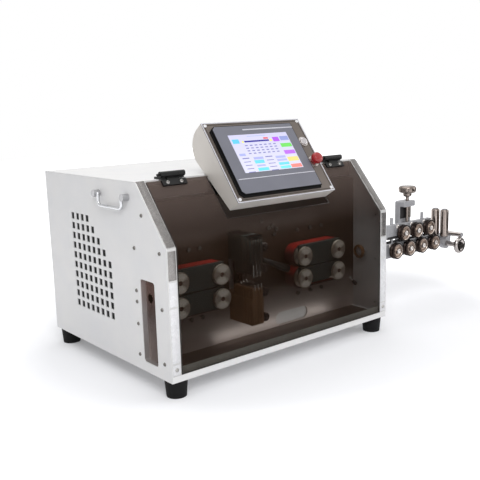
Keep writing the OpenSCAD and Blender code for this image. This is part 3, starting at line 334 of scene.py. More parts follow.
finish("edgeBrown", (24, 17, 14), (33, 24, 19), (70, 56, 46), (0.16, 0.3), 700, 0.4, bump=0.06, wear=0.4)
print("finishes made:", len(made))


def smokedSheet(name, base, other, cover, sheenColour, sheenBy, sheenSpan):
    # tinted sheet: each face lets part of the light through, so a slab filters it twice; paler towards its top as a
    # painted sheen of reflected light
    material, tree, shader = startMaterial(name)
    place = objectPlace(tree)
    body = blendColour(spread(noiseAt(place, 5.0, 3.0), *noiseSpan, 0.0, 1.0), tint(base), tint(other))
    # painted sheen: paler with height
    sheenShare = spread(axesOf(place)[2], *sheenSpan, 0.0, sheenBy)
    feed(shader, "Base Color", blendColour(sheenShare, body, tint(sheenColour)))
    feed(shader, "Roughness", spread(noiseAt(place, 26.0, 4.0), 0.35, 0.75, 0.05, 0.13))
    grainBump(shader, noiseAt(place, 7.0, 1.0), 0.05, 0.6)
    for key, value in (("Alpha", cover), ("IOR", 1.49), ("Specular IOR Level", 0.0)):
        feed(shader, key, value)
    material.surface_render_method = "BLENDED"
    made[name] = material


# base and other colour, share covered, then the painted sheen's colour, strength and the heights it grows between
# in metres
smokedSheet("smokedSheet", (30, 20, 14), (35, 24, 17), 0.44, (116, 102, 96), 0.9, (0.27, 0.38))
smokedSheet("outletSheet", (118, 104, 102), (106, 93, 91), 0.46, (142, 112, 104), 0.8, (0.14, 0.2))
dress("front_cover", "smokedSheet")
ringReach = 0.02  # radius in metres of the last ring


def ringFinish(name, node, spec):
    # colour rings by distance from an axis along the depth, with a paler and darker sector that paint the bright
    # and dark reflection wedges of turned metal
    material, tree, shader = startMaterial(name)
    shift = tuple(-middleOf(node))
    place = addNode(tree, "ShaderNodeMapping", Vector=objectPlace(tree), Location=shift).outputs[0]
    across, _, upward = axesOf(place)
    squares = maths("ADD", maths("MULTIPLY", across, across), maths("MULTIPLY", upward, upward))
    radius = maths("SQRT", squares, 0.0)
    stops = addNode(tree, "ShaderNodeValToRGB")
    feed(stops, 0, spread(radius, 0.0, ringReach, 0.0, 1.0))
    ramp = stops.color_ramp
    for i, (at, colour) in enumerate(spec["rings"]):
        point = ramp.elements[i] if i < 2 else ramp.elements.new(at)
        point.position = at
        point.color = tint(colour)
    # painted reflection: two darker sectors round the axis, broken up by noise
    angle = maths("ADD", maths("ARCTAN2", upward, across), spec["from"])
    sector = maths("SINE", maths("MULTIPLY", angle, 2.0), 0.0)
    blotch = spread(noiseAt(place, 90.0, 4.0), 0.2, 0.7, 0.7, 1.0)
    dull = maths("MULTIPLY", spread(sector, -0.2, 0.7, 0.0, spec["sector"]), blotch)
    feed(shader, "Base Color", blendColour(dull, stops.outputs[0], tint(spec["dull"])))
    fine = noiseAt(place, 900.0, 2.0)
    feed(shader, "Roughness", spread(fine, *noiseSpan, *spec["rough"]))
    grainBump(shader, fine, 0.05, 0.1, roundEdge(tree, 0.6))
    feed(shader, "Metallic", spec["metal"])
    made[name] = material
    dress(node, name)


def boxOf(name):
    return [np.array(v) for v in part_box(name)]


def middleOf(name):
    low, high = boxOf(name)
    return (low + high) / 2


def seatOf(name, axis, end):
    # middle of a node's box, but at its low (0) or high (1) end along one axis
    seat = middleOf(name)
    seat[axis] = boxOf(name)[end][axis]
    return seat


def lengthOf(name, axis):
    low, high = boxOf(name)
    return (high[axis] - low[axis]) / mm


# roller face rings: pale hub, dark ring round it, brown-grey dish growing darker outward, a thin pale line by the
# lip painted as its highlight, and a black rim
rollerSet = {
    "metal": 0.9, "rough": (0.16, 0.34), "sector": 0.6, "from": 0.4, "dull": (56, 44, 38),
    "rings": [(0.0, (226, 214, 204)), (1.0, (36, 29, 27)), (0.28, (206, 192, 180)), (0.34, (58, 47, 42)),
              (0.42, (182, 164, 150)), (0.62, (140, 120, 108)), (0.72, (104, 86, 76)), (0.76, (206, 194, 184)),
              (0.8, (190, 176, 166)), (0.83, (34, 27, 25))],
}
discSet = {
    "metal": 0.55, "rough": (0.26, 0.42), "sector": 0.75, "from": 0.9, "dull": (96, 72, 56),
    "rings": [(0.0, (70, 44, 36)), (1.0, (214, 204, 188)), (0.2, (86, 54, 44)), (0.25, (222, 212, 196)),
              (0.6, (234, 226, 212)), (0.93, (214, 204, 190)), (0.96, (120, 100, 84))],
}
pulleys = [s + l + u for s in ("left_", "right_") for l in ("lower_", "upper_") for u in ("drive", "idler")]
rollers = ["lower_roller_%d" % i for i in (1, 2, 3, 4)] + ["upper_roller_%d" % i for i in (1, 2, 3)]
for name in rollers:
    ringFinish(name + "Finish", name, rollerSet)
for name in pulleys:
    ringFinish(name + "Face", name + "_pulley", discSet)
print("nodes dressed")


def surface(name, points, wrapAcross=False, wrapAlong=False, closed=True, crease=40.0):
    # grid of points joined into quads; a wrapped side closes on itself, and points that meet are merged
    rows, columns = points.shape[:2]
    index = np.arange(rows * columns).reshape(rows, columns)
    if wrapAlong:
        index = np.vstack([index, index[:1]])
    if wrapAcross:
        index = np.hstack([index, index[:, :1]])
    quads = np.stack([index[:-1, :-1], index[:-1, 1:], index[1:, 1:], index[1:, :-1]], axis=-1).reshape(-1, 4)
    mesh = bpy.data.meshes.new(name)
    mesh.from_pydata(points.reshape(-1, 3).tolist(), [], quads.tolist())
    if closed:
        work = bmesh.new()
        work.from_mesh(mesh)
        bmesh.ops.remove_doubles(work, verts=work.verts, dist=1e-7)
        bmesh.ops.recalc_face_normals(work, faces=work.faces)
        work.to_mesh(mesh)
        work.free()
    mesh.shade_smooth()
    mesh.set_sharp_from_angle(angle=np.radians(crease))
    return intoScene(name, mesh)


def settle(piece, body, slotName, look, instead=None):
    piece.data.materials.append(made[look])
    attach(piece, body)
    if instead:
        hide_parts(instead)


def eased(corners, reach, steps=5):
    # each inner corner of a profile becomes a quadratic curve that starts and ends one reach from it
    corners = np.asarray(corners, float)
    before, here, after = corners[:-2], corners[1:-1], corners[2:]
    lengthBefore = np.linalg.norm(before - here, axis=1, keepdims=True)
    lengthAfter = np.linalg.norm(after - here, axis=1, keepdims=True)
    start = here + (before - here) * np.minimum(reach / lengthBefore, 0.5)
    end = here + (after - here) * np.minimum(reach / lengthAfter, 0.5)
    t = np.linspace(0, 1, steps)[None, :, None]
    curve = (1 - t) ** 2 * start[:, None] + 2 * t * (1 - t) * here[:, None] + t ** 2 * end[:, None]
    return np.vstack([corners[:1], curve.reshape(-1, 2), corners[-1:]])


def lathe(name, profile, middle, axis, steps):
    # profile of (radius, height) in millimetres turned by t round an axis:
    # middle + height * axis + radius * (cos t * side + sin t * other)
    axis = unit(axis)
    side = unit(np.cross(axis, (0.3, 0.5, 0.8)))
    other = np.cross(axis, side)
    t = np.linspace(0, 2 * np.pi, steps, endpoint=False)
    around = np.cos(t)[:, None] * side + np.sin(t)[:, None] * other
    profile = np.asarray(profile, float) * mm
    points = middle + profile[:, 1][:, None, None] * axis + profile[:, :1, None] * around[None]
    return surface(name, points, wrapAcross=True)


def ribbon(name, path, normal, profile, closed=False):
    # profile of (sideways, outward) in millimetres carried along a path in one plane, mitred at its corners
    path = np.asarray(path, float)
    normal = unit(normal)
    ahead = np.roll(path, -1, axis=0) - path
    if not closed:
        ahead[-1] = ahead[-2]
    ahead = ahead / np.linalg.norm(ahead, axis=1, keepdims=True)
    behind = np.roll(ahead, 1, axis=0)
    if not closed:
        behind[0] = ahead[0]
    first = np.cross(ahead, normal)
    second = np.cross(behind, normal)
    side = (first + second) / (1 + np.sum(first * second, axis=1, keepdims=True))
    profile = np.asarray(profile, float) * mm
    points = path[:, None] + profile[None, :, :1] * side[:, None] + profile[None, :, 1:] * normal
    if not closed:
        ends = [np.repeat(points[i].mean(axis=0)[None], len(profile), axis=0)[None] for i in (0, -1)]
        points = np.concatenate([ends[0], points, ends[1]])
    return surface(name, points, wrapAcross=True, wrapAlong=closed)


def turned(name, profile, reach, middle, axis, steps, *seat):
    settle(lathe(name, eased(profile, reach), middle, axis, steps), *seat)


def turnedRow(label, profile, reach, places, axis, steps, *seat):
    # the same turned piece at each place, numbered from one
    for i, place in enumerate(places, 1):
        turned(label + str(i), profile, reach, place, axis, steps, *seat)


def bar(name, start, end, outward, profile, *seat):
    # profile carried along one straight line between two points in millimetres
    settle(ribbon(name, [spot(*start), spot(*end)], outward, profile), *seat)


def flatProfile(half, proud, sunk, inset=0.0, drop=0.0):
    # flat strip from below its seat up to its face, with its edges cut off where an inset is given
    rise = [(-half, -sunk), (-half, proud - drop)] + [(inset - half, proud)] * (inset > 0)
    return rise + [(-x, y) for x, y in rise[::-1]]


# frame of the display's front plate: across, up along the plate, and out of it
plateMid = middleOf("display_plate")
pressAxis = next(j["axis"] for j in frame["record"]["behaviour"]["joints"] if j["name"] == "power_button_press")
outAxis = -unit(pressAxis)
upAxis = np.cross(outAxis, (1.0, 0.0, 0.0))
plateHalf = 1.0


def onPlate(dx, up, out):
    # millimetres right of and above the plate's middle, and out from its face
    dx, up, out = (np.asarray(v, float)[..., None] for v in (dx, up, out))
    return plateMid + mm * (dx * np.array([1.0, 0.0, 0.0]) + up * upAxis + (out + plateHalf) * outAxis)


# screen: plain colour blocks, as left, top, right and bottom shares of the screen
screenSet = {
    "middle": (-8.3, 11.0), "size": (152.0, 86.0), "cells": (200, 112), "out": 6.25,
    "ground": ((206, 204, 236), (222, 222, 242)),
    "blocks": [
        (0.03, 0.12, 0.14, 0.23, (96, 200, 240)), (0.18, 0.17, 0.21, 0.22, (236, 230, 120)),
        (0.22, 0.17, 0.64, 0.215, (48, 40, 150)), (0.65, 0.17, 0.69, 0.22, (240, 226, 110)),
        (0.56, 0.11, 0.64, 0.15, (226, 84, 92)), (0.71, 0.12, 0.82, 0.24, (176, 88, 238)),
        (0.84, 0.11, 0.99, 0.22, (146, 156, 214)), (0.8, 0.3, 0.99, 0.41, (112, 220, 96)),
        (0.8, 0.5, 0.99, 0.61, (190, 108, 242)), (0.8, 0.69, 0.99, 0.8, (240, 222, 130)),
        (0.8, 0.88, 0.99, 0.98, (246, 140, 132)), (0.24, 0.62, 0.4, 0.68, (172, 176, 240)),
        (0.23, 0.7, 0.39, 0.79, (110, 216, 238)), (0.24, 0.82, 0.38, 0.87, (180, 182, 242)),
        (0.23, 0.9, 0.41, 0.98, (112, 222, 244)), (0.61, 0.63, 0.78, 0.7, (176, 182, 244)),
        (0.61, 0.72, 0.78, 0.78, (180, 184, 242)), (0.61, 0.81, 0.79, 0.88, (112, 218, 232)),
        (0.61, 0.91, 0.79, 0.98, (122, 230, 246)), (0.3, 0.045, 0.62, 0.065, (176, 186, 236)),
        (0.04, 0.5, 0.14, 0.56, (170, 178, 240)),
    ],
    "marks": (128, 128, 188),
}


def screenColours(spec):
    # ground shaded from top to bottom, then the blocks, then rows of small marks
    columns, rows = spec["cells"]
    down = ((np.arange(rows) + 0.5) / rows)[:, None, None]
    across = ((np.arange(columns) + 0.5) / columns)[None, :, None]
    top, bottom = (np.array(c, float) for c in spec["ground"])
    cells = top + (bottom - top) * down + 0 * across
    for left, high, right, low, colour in spec["blocks"]:
        inside = (across > left) & (across < right) & (down > high) & (down < low)
        cells = np.where(inside, np.array(colour, float), cells)
    inRows = (down > 0.29) & (down < 0.57) & ((down - 0.29) % 0.07 < 0.024)
    inColumns = (across > 0.20) & (across < 0.76) & ((across - 0.20) % 0.08 < 0.045)
    lower = (down > 0.62) & ((down - 0.62) % 0.09 < 0.022)
    sides = ((across > 0.06) & (across < 0.17)) | ((across > 0.44) & (across < 0.56))
    marks = (inRows & inColumns) | (lower & sides)
    return np.where(marks, np.array(spec["marks"], float), cells)


def screenPiece(spec):
    # flat grid on the display plane, one colour to each cell
    columns, rows = spec["cells"]
    across = spec["middle"][0] + (np.linspace(0, 1, columns + 1) - 0.5) * spec["size"][0]
    upward = spec["middle"][1] + (0.5 - np.linspace(0, 1, rows + 1)) * spec["size"][1]
    grid = onPlate(*np.broadcast_arrays(across[None, :], upward[:, None], spec["out"]))
    piece = surface("screen", grid[::-1], closed=False)
    colours = linearOf(screenColours(spec)[::-1].reshape(-1, 3))
    colours = np.column_stack([colours, np.ones(len(colours))])
    layer = piece.data.color_attributes.new("screenColour", "FLOAT_COLOR", "CORNER")
    layer.data.foreach_set("color", np.repeat(colours, 4, axis=0).ravel())
    return piece


def screenFinish(name):
    # colours of the cells, lit a little from behind, under smooth glass with faint smears
    material, tree, shader = startMaterial(name)
    colour = addNode(tree, "ShaderNodeVertexColor", layer_name="screenColour").outputs["Color"]
    feed(shader, "Base Color", colour)
    feed(shader, "Emission Color", colour)
    feed(shader, "Emission Strength", 0.06)
    place = objectPlace(tree)
    smear = noiseAt(place, 60.0, 4.0)
    feed(shader, "Roughness", spread(smear, *noiseSpan, 0.12, 0.24))
    grainBump(shader, noiseAt(place, 1500.0, 1.0), 0.03, 0.1)
    return material


made["screenGlass"] = screenFinish("screenGlass")
settle(screenPiece(screenSet), "chassis", "bezel_grey", "screenGlass")

# black side of the touch panel and a black band shifted down and left beneath it, partly its foot and partly
# painted shadow, and two pale lines on its face
bezelSet = {"size": (204.0, 150.0), "dx": -10.0, "cut": 6.0, "rimUp": 5.8, "rimOut": 1.6, "footUp": 3.2,
            "footShift": -2.6, "face": 5.98,
            "lines": [((-41.0, 65.5), (92.0, 65.5), 1.3), ((-107.0, -44.0), (92.0, -44.0), 0.9)]}
size, dx, cut, up, out, footUp, shift, face, lines = bezelSet.values()
w, h = size[0] / 2, size[1] / 2
rim = np.array([(cut - w, -h), (w, -h), (w, h), (cut - w, h), (-w, h - cut), (-w, cut - h)]) + (dx, 0.0)
rimProfile = [(-0.3, 0.05), (out, 0.05), (out, up - 0.5), (out - 0.4, up), (-0.3, up)]
footProfile = [(-3.0, 0.05), (-shift, 0.05), (-shift, footUp - 0.5), (-shift - 0.5, footUp), (-3.0, footUp)]
for name, corners, profile in (("bezelRim", rim, rimProfile), ("bezelFootAndShadow", rim + shift, footProfile)):
    path = onPlate(*corners.T, np.zeros(len(corners)))
    settle(ribbon(name, path, outAxis, profile, closed=True), "chassis", "bezel_grey", "rimBlack")
arc = np.linspace(0, np.pi, 9)
for i, (start, end, half) in enumerate(lines, 1):
    profile = np.column_stack([half * np.cos(arc), 0.5 * np.sin(arc)])
    path = onPlate(*np.array([(*start, face), (*end, face)]).T)
    settle(ribbon("bezelLine%d" % i, path, outAxis, profile), "chassis", "bezel_grey", "linePale")

# pale trim at the edge of the display plate, and a dark groove inside it: inset and half width
trimSet = {"tall": 178.0, "runs": [("plateTrim", 0.6, 1.1, "linePale"), ("plateGroove", 5.0, 0.5, "rimBlack")]}
for name, inset, half, look in trimSet["runs"]:
    w, h = lengthOf("display_plate", 0) / 2 - inset, trimSet["tall"] / 2 - inset
    path = onPlate(np.array([-w, w, w, -w]), np.array([-h, -h, h, h]), np.zeros(4))
    profile = [(-half, -0.2), (half, -0.2), (half, 0.15), (0.0, 0.3), (-half, 0.15)]
    settle(ribbon(name, path, outAxis, profile, closed=True), "chassis", "plate_dark", look)
print("touch panel detailed")

# emergency stop and power button, turned about the display's normal
stopSet = {"dx": 107.0, "up": -19.0, "neck": 6.5, "base": 11.0, "head": 12.0, "foot": -16.0, "lift": 9.0,
           "tall": 14.0}
dx, up, neck, base, head, foot, lift, tall = stopSet.values()
stopProfile = [(0, foot), (neck, foot), (neck, lift), (base, lift), (head, lift + 2.5), (head, lift + 8.5),
               (head - 2.4, lift + tall - 1.2), (0, lift + tall)]
turned("stopHead", stopProfile, 1.6, onPlate(dx, up, 0.0), outAxis, 64,
       "stop_button", "stop_red", "stopRed", "emergency_stop")
buttonSet = {"dx": 107.0, "up": 30.5, "out": 5.5, "radius": 8.4}
dx, up, out, r = buttonSet.values()
dish = [(0, -0.2), (r - 0.05, -0.2), (r - 0.05, 0.25), (r - 0.6, 0.6), (r - 1.5, 0.6), (r - 2.1, 0.1),
        (r * 0.5, 0.05), (0, 0.02)]
turned("buttonDish", dish, 0.3, onPlate(dx, up, out), outAxis, 64, "button", "button_metal", "buttonSteel")
print("display controls turned")

# knobs of the straightener, turned with eased rims
pressSet = {"lift": 2.5, "radius": 21.4, "rim": 16.0, "hub": 10.4, "hubTall": 9.5, "screw": 4.0}
lift, r, rim, hub, hubTall, screw = pressSet.values()
tall = lengthOf("pressure_knob", 2) + lift
top = -rim - 1.0
pressProfile = [(0, -tall), (screw, -tall), (screw, top - hubTall), (hub - 2.0, top - hubTall), (hub, top - 6.0),
                (hub, top), (r - 3.0, top), (r, top + 4.0), (r, -4.5), (r - 4.0, -0.5), (r - 9.0, 0.0), (0, 0.0)]
pressMid = seatOf("pressure_knob", 2, 1) + mm * lift * np.array(toTop)
pressKnob = lathe("pressKnob", eased(pressProfile, 2.6, 7), pressMid, toTop, 96)
settle(pressKnob, "knob", "knob_chrome", "knobSteel", "pressure_knob")
endSet = {"radius": 20.6, "rim": 12.0, "shank": 6.5, "nut": 9.5, "nutTall": 5.7}
r, rim, shank, nut, nutTall = endSet.values()
deep = lengthOf("end_knob", 1)
endProfile = [(0, 1.6), (9.0, 1.2), (r - 3.5, 0.0), (r, 3.5), (r, rim - 2.5), (r - 4.0, rim), (shank, rim),
              (shank, deep - nutTall), (nut, deep - nutTall), (nut, deep), (0, deep)]
turned("endClampKnob", endProfile, 1.6, seatOf("end_knob", 1, 0), (0, 1, 0), 96,
       "end_clamp", "knob_chrome", "polishedChrome", "end_knob")
print("straightener knobs turned")

# upright rollers with eased ends and a shallow step at each end
uprightSet = {"radius": 10.5, "bore": 4.3, "step": 0.5, "collar": 3.0}
r, bore, d, c = uprightSet.values()
for body in ("front_upright", "rear_upright"):
    name = body + "_roller"
    tall = lengthOf(name, 2)
    profile = [(bore, 0.0), (r - 1.2, 0.0), (r - d, 0.8), (r - d, c), (r, c + 0.4), (r, tall - c - 0.4),
               (r - d, tall - c), (r - d, tall - 0.8), (r - 1.2, tall), (bore, tall), (bore, 0.0)]
    turned(name.replace("_", "") + "Turned", profile, 0.4, seatOf(name, 2, 0), toTop, 80,
           body, "knob_chrome", "uprightSteel", name)

# grooved rollers with a dished front: bore, rear face, rim, groove, rim, front lip, dish and hub
dishSet = {"bore": 4.2, "radius": 19.8, "groove": 3.0, "wide": 12.0, "dish": 2.2, "lip": 16.4, "hub": 7.0}
bore, r, g, w, d, lip, hub = dishSet.values()
dishProfile = [(bore, 0.0), (r - 1.0, 0.0), (r, 1.0), (r, w / 2 - g), (r - g, w / 2), (r, w / 2 + g), (r, w - 1.0),
               (r - 1.0, w), (lip, w), (lip - 1.6, w - d + 0.4), (lip - 5.0, w - d), (hub + 1.0, w - d),
               (hub, w - 0.5), (bore, w - 0.3), (bore, 0.0)]
for name in rollers:
    turned(name.replace("_", "") + "Dished", dishProfile, 0.4, seatOf(name, 1, 1), toFront, 72,
           name, "roller_bronze", name + "Finish", name)
print("straightener rollers turned")

# raised middle and eased rim on the front of each feed disc
faceSet = {"radius": 19.7, "hub": 3.6, "hubTall": 1.5, "rise": 0.7}
r, hub, tall, rise = faceSet.values()
faceProfile = [(0, tall), (hub - 0.6, tall), (hub, tall - 0.6), (hub, 0.35), (hub + 1.2, 0.2), (r - 1.6, rise),
               (r, 0.1), (r, -0.3), (0, -0.3)]
for name in pulleys:
    turned(name.replace("_", "") + "Face", faceProfile, 0.4, seatOf(name + "_pulley", 1, 0), toFront, 64,
           name, "pulley_metal", name + "Face")
print("feed discs faced")

# bright button-head screws on the cover's hinge leaves and at the feet of the front strips
slopeOut = unit((0.0, -0.7716, 0.6361))
slopeDown = unit((0.0, -0.6361, -0.7716))
roofEdge = (90.0, 383.0)
screwSet = {"radius": 3.8, "tall": 2.0, "socket": 1.5, "hingeX": (78.5, 501.5), "apart": 15.0, "down": 10.0,
            "leaf": 4.0, "strip": [(10.4, -0.7, 57.0), (569.6, -0.7, 57.0)]}
r, tall, hole, hingeX, apart, down, leaf, strip = screwSet.values()
screwProfile = [(0, 0.7), (hole, 0.9), (hole + 0.1, tall), (r - 1.0, tall - 0.2), (r, 0.5), (r, -0.05), (0, -0.05)]
ontoLeaf = mm * (down * slopeDown + leaf * slopeOut)
seats = [spot(x + s * apart, *roofEdge) + ontoLeaf for x in hingeX for s in (-1, 1)]
turnedRow("hingeScrew", screwProfile, 0.5, seats, slopeOut, 32, "cover", "screw_steel", "screwSteel")
turnedRow("stripScrew", screwProfile, 0.5, toMetres(strip), toFront, 32, "chassis", "screw_steel", "screwSteel")
print("screws set")

# polished segments along the front strips: one up the slope and three down the front, over a foot block; the
# middle, low and foot segments wear a paler copy of the strip metal as a painted reflection
segmentSet = {
    "x": (("left", 10.4), ("right", 569.6)), "half": 8.2, "proud": 0.7,
    "runs": [("Slope", (90.0, 383.0), (1.0, 277.0), slopeOut, "stripGrey"),
             ("High", (0.0, 270.0), (0.0, 218.5), toFront, "stripGrey"),
             ("Middle", (0.0, 215.5), (0.0, 171.5), toFront, "stripWhite"),
             ("Low", (0.0, 168.5), (0.0, 69.0), toFront, "stripWhite"),
             ("Foot", (0.0, 66.5), (0.0, 47.0), toFront, "stripWhite")],
}
sides, half, proud, runs = segmentSet.values()
segmentProfile = flatProfile(half, proud, 0.3, 0.6, 0.4)
for side, x in sides:
    for label, start, end, outward, look in runs:
        bar(side + label + "Strip", (x, *start), (x, *end), outward, segmentProfile,
            "chassis", "frame_metal", look)
print("strips faced")

# dark edges of the smoked cover, partly its own dark polished edge and partly painted edge shadow: both sides, the
# foot and the notch
edgeSet = {"half": 0.9, "proud": 0.12, "sunk": 0.4, "bendZ": 274.0, "topDrop": 4.0, "notchHalf": 134.0,
           "notchDown": 99.4, "middleX": 290.0}
half, proud, sunk, bendZ, topDrop, notchHalf, notchDown, middleX = edgeSet.values()
coverSeat = ("cover", "cover_smoked", "edgeBrown")
coverLow, coverHigh = (v / mm + footMid for v in boxOf("front_cover"))
foot = coverLow[2]
slopeTop = np.array([0.0, *roofEdge]) + topDrop * slopeDown
edgeProfile = [(-sunk, -half), (proud, -half), (proud, half), (-sunk, half)]
for name, x in (("coverEdgeLeft", coverLow[0] + half), ("coverEdgeRight", coverHigh[0] - half)):
    path = toMetres([(x, 0.0, foot), (x, 0.0, bendZ), (x, slopeTop[1], slopeTop[2])])
    settle(ribbon(name, path, toLeft, edgeProfile), *coverSeat)
level = foot + half
bar("coverEdgeFoot", (coverLow[0], 0.0, level), (coverHigh[0], 0.0, level), (0, 0, -1), edgeProfile, *coverSeat)
notch = [(-1, topDrop), (-1, notchDown + half), (1, notchDown + half), (1, topDrop)]
path = [spot(middleX + s * (notchHalf + half), *roofEdge) + mm * d * slopeDown for s, d in notch]
notchProfile = [(-half, -sunk), (half, -sunk), (half, proud), (-half, proud)]
settle(ribbon("coverEdgeNotch", path, slopeOut, notchProfile), *coverSeat)
print("cover edged")

# dark woven screens inside the vents, painted shade that keeps the vents black, slightly bowed between their rims
ventSet = {"side": (186.0, 356.0, 100.0, 312.0), "rear": (76.0, 247.0, 170.0, 278.0), "bow": 0.6, "cells": 24}


def ventShadeScreen(name, axis, at, inward, span):
    # flat sheet over two lengths, bowed along an axis by the product of two half sine waves
    u, v = np.meshgrid(*[np.linspace(0, 1, ventSet["cells"])] * 2)
    points = np.stack([span[0] + u * (span[1] - span[0]), span[2] + v * (span[3] - span[2])], axis=-1)
    bow = at + inward * ventSet["bow"] * np.sin(np.pi * u) * np.sin(np.pi * v)
    piece = surface(name, toMetres(np.insert(points, axis, bow, axis=-1)), closed=False)
    settle(piece, "chassis", "inlet_black", "ventShadeMesh")


def meshFinish(name):
    # fine dark weave, two crossed waves
    material, tree, shader = startMaterial(name)
    place = objectPlace(tree)
    weave = None
    for direction in ("Y", "Z"):
        wave = addNode(tree, "ShaderNodeTexWave", bands_direction=direction, Vector=place, Scale=420.0)
        weave = wave.outputs["Fac"] if weave is None else maths("MULTIPLY", weave, wave.outputs["Fac"])
    feed(shader, "Base Color", blendColour(weave, tint((6, 6, 7)), tint((14, 14, 15))))
    feed(shader, "Roughness", spread(noiseAt(place, 40.0), *noiseSpan, 0.6, 0.8))
    grainBump(shader, weave, 0.3, 0.3)
    return material


made["ventShadeMesh"] = meshFinish("ventShadeMesh")
ventShadeScreen("leftVentShade", 0, 3.0, 1, ventSet["side"])
ventShadeScreen("rightVentShade", 0, 577.0, -1, ventSet["side"])
ventShadeScreen("rearVentShade", 1, 457.0, -1, ventSet["rear"])
print("vents backed")

# pale plate in the main plate's long pocket: shares of its outline, slightly domed
pocketSet = {"middle": (371.0, 89.4, 61.0), "half": 33.0, "radius": 13.4, "rise": 0.3}
middle, half, r, rise = pocketSet.values()
t = np.linspace(0, 2 * np.pi, 64, endpoint=False)
share = np.linspace(0, 1, 6)[:, None]
x, z = share * (r * np.cos(t) + half * np.sign(np.cos(t))), share * (r * np.sin(t))
points = np.stack([x, -rise * (1 - share ** 2) + 0 * x, z], axis=-1) + np.array(middle)
settle(surface("pocketPlate", toMetres(points), wrapAcross=True), "chassis", "plate_metal", "pocketPale")

# small release lever by the inlet
leverSet = {"root": (556.0, 86.0, 113.0), "tip": (563.0, 72.0, 96.0), "stem": 2.2, "grip": 4.4}
root, tip, stem, grip = leverSet.values()
root, tip = spot(*root), spot(*tip)
reach = np.linalg.norm(tip - root) / mm
stemProfile = [(0, -1.0), (3.6, -1.0), (3.6, 1.5), (stem, 2.2), (stem, reach * 0.5), (0, reach * 0.5)]
gripProfile = [(0, reach * 0.42), (2.8, reach * 0.42), (grip, reach * 0.8), (grip - 0.8, reach), (0, reach + 0.6)]
turned("leverStem", stemProfile, 0.5, root, tip - root, 32, "chassis", "screw_steel", "screwSteel")
turned("leverGrip", gripProfile, 1.0, root, tip - root, 32, "chassis", "inlet_black", "inletBlack")

# brown sheet on the compartment's floor, and the tray's folded lip inside the cover's foot
liningSet = {"left": 20.6, "right": 559.4, "front": 4.2, "back": 85.6, "floor": 45.0, "lipTall": 14.0,
             "lipThick": 1.2}
left, right, front, back, level, lipTall, t = liningSet.values()
u, v = np.meshgrid(np.linspace(0, 1, 40), np.linspace(0, 1, 10))
points = np.stack([left + u * (right - left), front + v * (back - front),
                   level + 0.3 + 0.15 * np.sin(np.pi * u) * np.sin(np.pi * v)], axis=-1)
settle(surface("floorSheet", toMetres(points), closed=False), "chassis", "plate_metal", "floorBrown")
h = lipTall / 2
lipProfile = [(-h, 0.0), (h, 0.0), (h + 0.6, -0.6), (h, -t), (h - 1.2, -t), (-h, -t)]
bar("trayLip", (left, front, level + h), (right, front, level + h), toFront, lipProfile,
    "chassis", "case_paint", "lipGrey")

# socket screws on the main plate, some of them with nothing but their heads to be seen
boltSet = {"radius": 4.6, "tall": 3.4, "socket": 2.1, "plateY": 86.0,
           "at": [(105.5, 245.5), (131.5, 245.5), (105.5, 108.5), (131.5, 108.5), (389, 246.5), (427, 246.5),
                  (461, 246.5), (389, 107.5), (427, 107.5), (461, 107.5), (288, 278), (307, 261), (318, 264),
                  (329, 256), (323, 246)]}
r, tall, hole, plateY, at = boltSet.values()
boltProfile = [(0, 1.2), (hole, 1.2), (hole, tall), (r - 0.4, tall), (r, tall - 0.8), (r, -0.05), (0, -0.05)]
seats = [spot(x, plateY, z) for x, z in at]
turnedRow("plateBolt", boltProfile, 0.35, seats, toFront, 28, "chassis", "screw_steel", "screwDark")

# flange of the wire inlet on the inner side wall
inletSet = {"seat": (560.0, 60.0, 177.0), "bore": 10.1, "flange": 15.5, "thick": 4.0}
seat, b, f, t = inletSet.values()
inletProfile = [(b, -0.2), (b, t + 2.2), (b + 1.6, t + 2.6), (b + 2.4, t + 0.4), (f - 0.8, t), (f, t - 0.8),
                (f, -0.2), (b, -0.2)]
turned("inletFlange", inletProfile, 0.5, spot(*seat), toLeft, 64, "chassis", "holder_brass", "holderBrass")

# faces of the four clamp knobs on the blade holders
clampSet = {"x": 241.0, "y": 23.0, "radius": 8.7, "high": {"upper": (197.0, 240.0), "lower": (150.0, 99.0)}}
x, y, r, high = clampSet.values()
clampProfile = [(0, 1.0), (2.2, 1.0), (2.6, 1.9), (r - 2.2, 1.9), (r, 0.6), (r, -9.6), (r - 0.6, -10.2), (0, -10.2)]
for half, heights in high.items():
    turnedRow(half + "Clamp", clampProfile, 0.5, [spot(x, y, z) for z in heights], toFront, 40,
              half + "_cutter", "screw_steel", "knobDark")

# bright domed caps on the rollers' axle heads
capSet = {"radius": 5.4, "rise": 1.6, "y": 51.5, "apart": 49.5,
          "rows": [("lower", 693.0, 157.0, 4, "chassis"), ("upper", 721.5, 197.0, 3, "slide")]}
r, rise, y, apart, rows = capSet.values()
capProfile = [(0, 0.5), (1.7, 0.5), (1.7, rise), (r - 1.6, rise - 0.2), (r, 0.4), (r, -1.2), (0, -1.2)]
for row, x, z, count, body in rows:
    seats = [spot(x + apart * i, y, z) for i in range(count)]
    turnedRow(row + "AxleCap", capProfile, 0.5, seats, toFront, 36, body, "straightener_metal", "capBright")

# dark bands painted as shadow along the straightener's slide and in the gap below it, a dark strip painted as the
# shade in the leg's recess, and a brown rail under the pressure arm
bandSet = {"from": 668.6, "to": 838.0, "half": 3.1, "proud": 0.3,
           "rows": [("slideBand", 68.0, 188.3, "slide"), ("gapBand", 72.0, 178.0, "chassis")]}
start, end, half, proud, rows = bandSet.values()
for name, y, z, body in rows:
    bar(name, (start, y, z), (end, y, z), toFront, flatProfile(half, proud, 0.2),
        body, "straightener_metal", "gapDark")
legSet = {"y": 80.0, "z": (228.0, 256.6),
          "rows": [("legRecess", 743.0, 12.0, 0.3, "gapDark"), ("legRail", 762.5, 7.0, 2.4, "railBrown")]}
y, (low, high), rows = legSet.values()
for name, x, half, proud, look in rows:
    bar(name, (x, y, high), (x, y, low), toFront, flatProfile(half, proud, 0.2, 0.8, 0.1),
        "chassis", "straightener_metal", look)

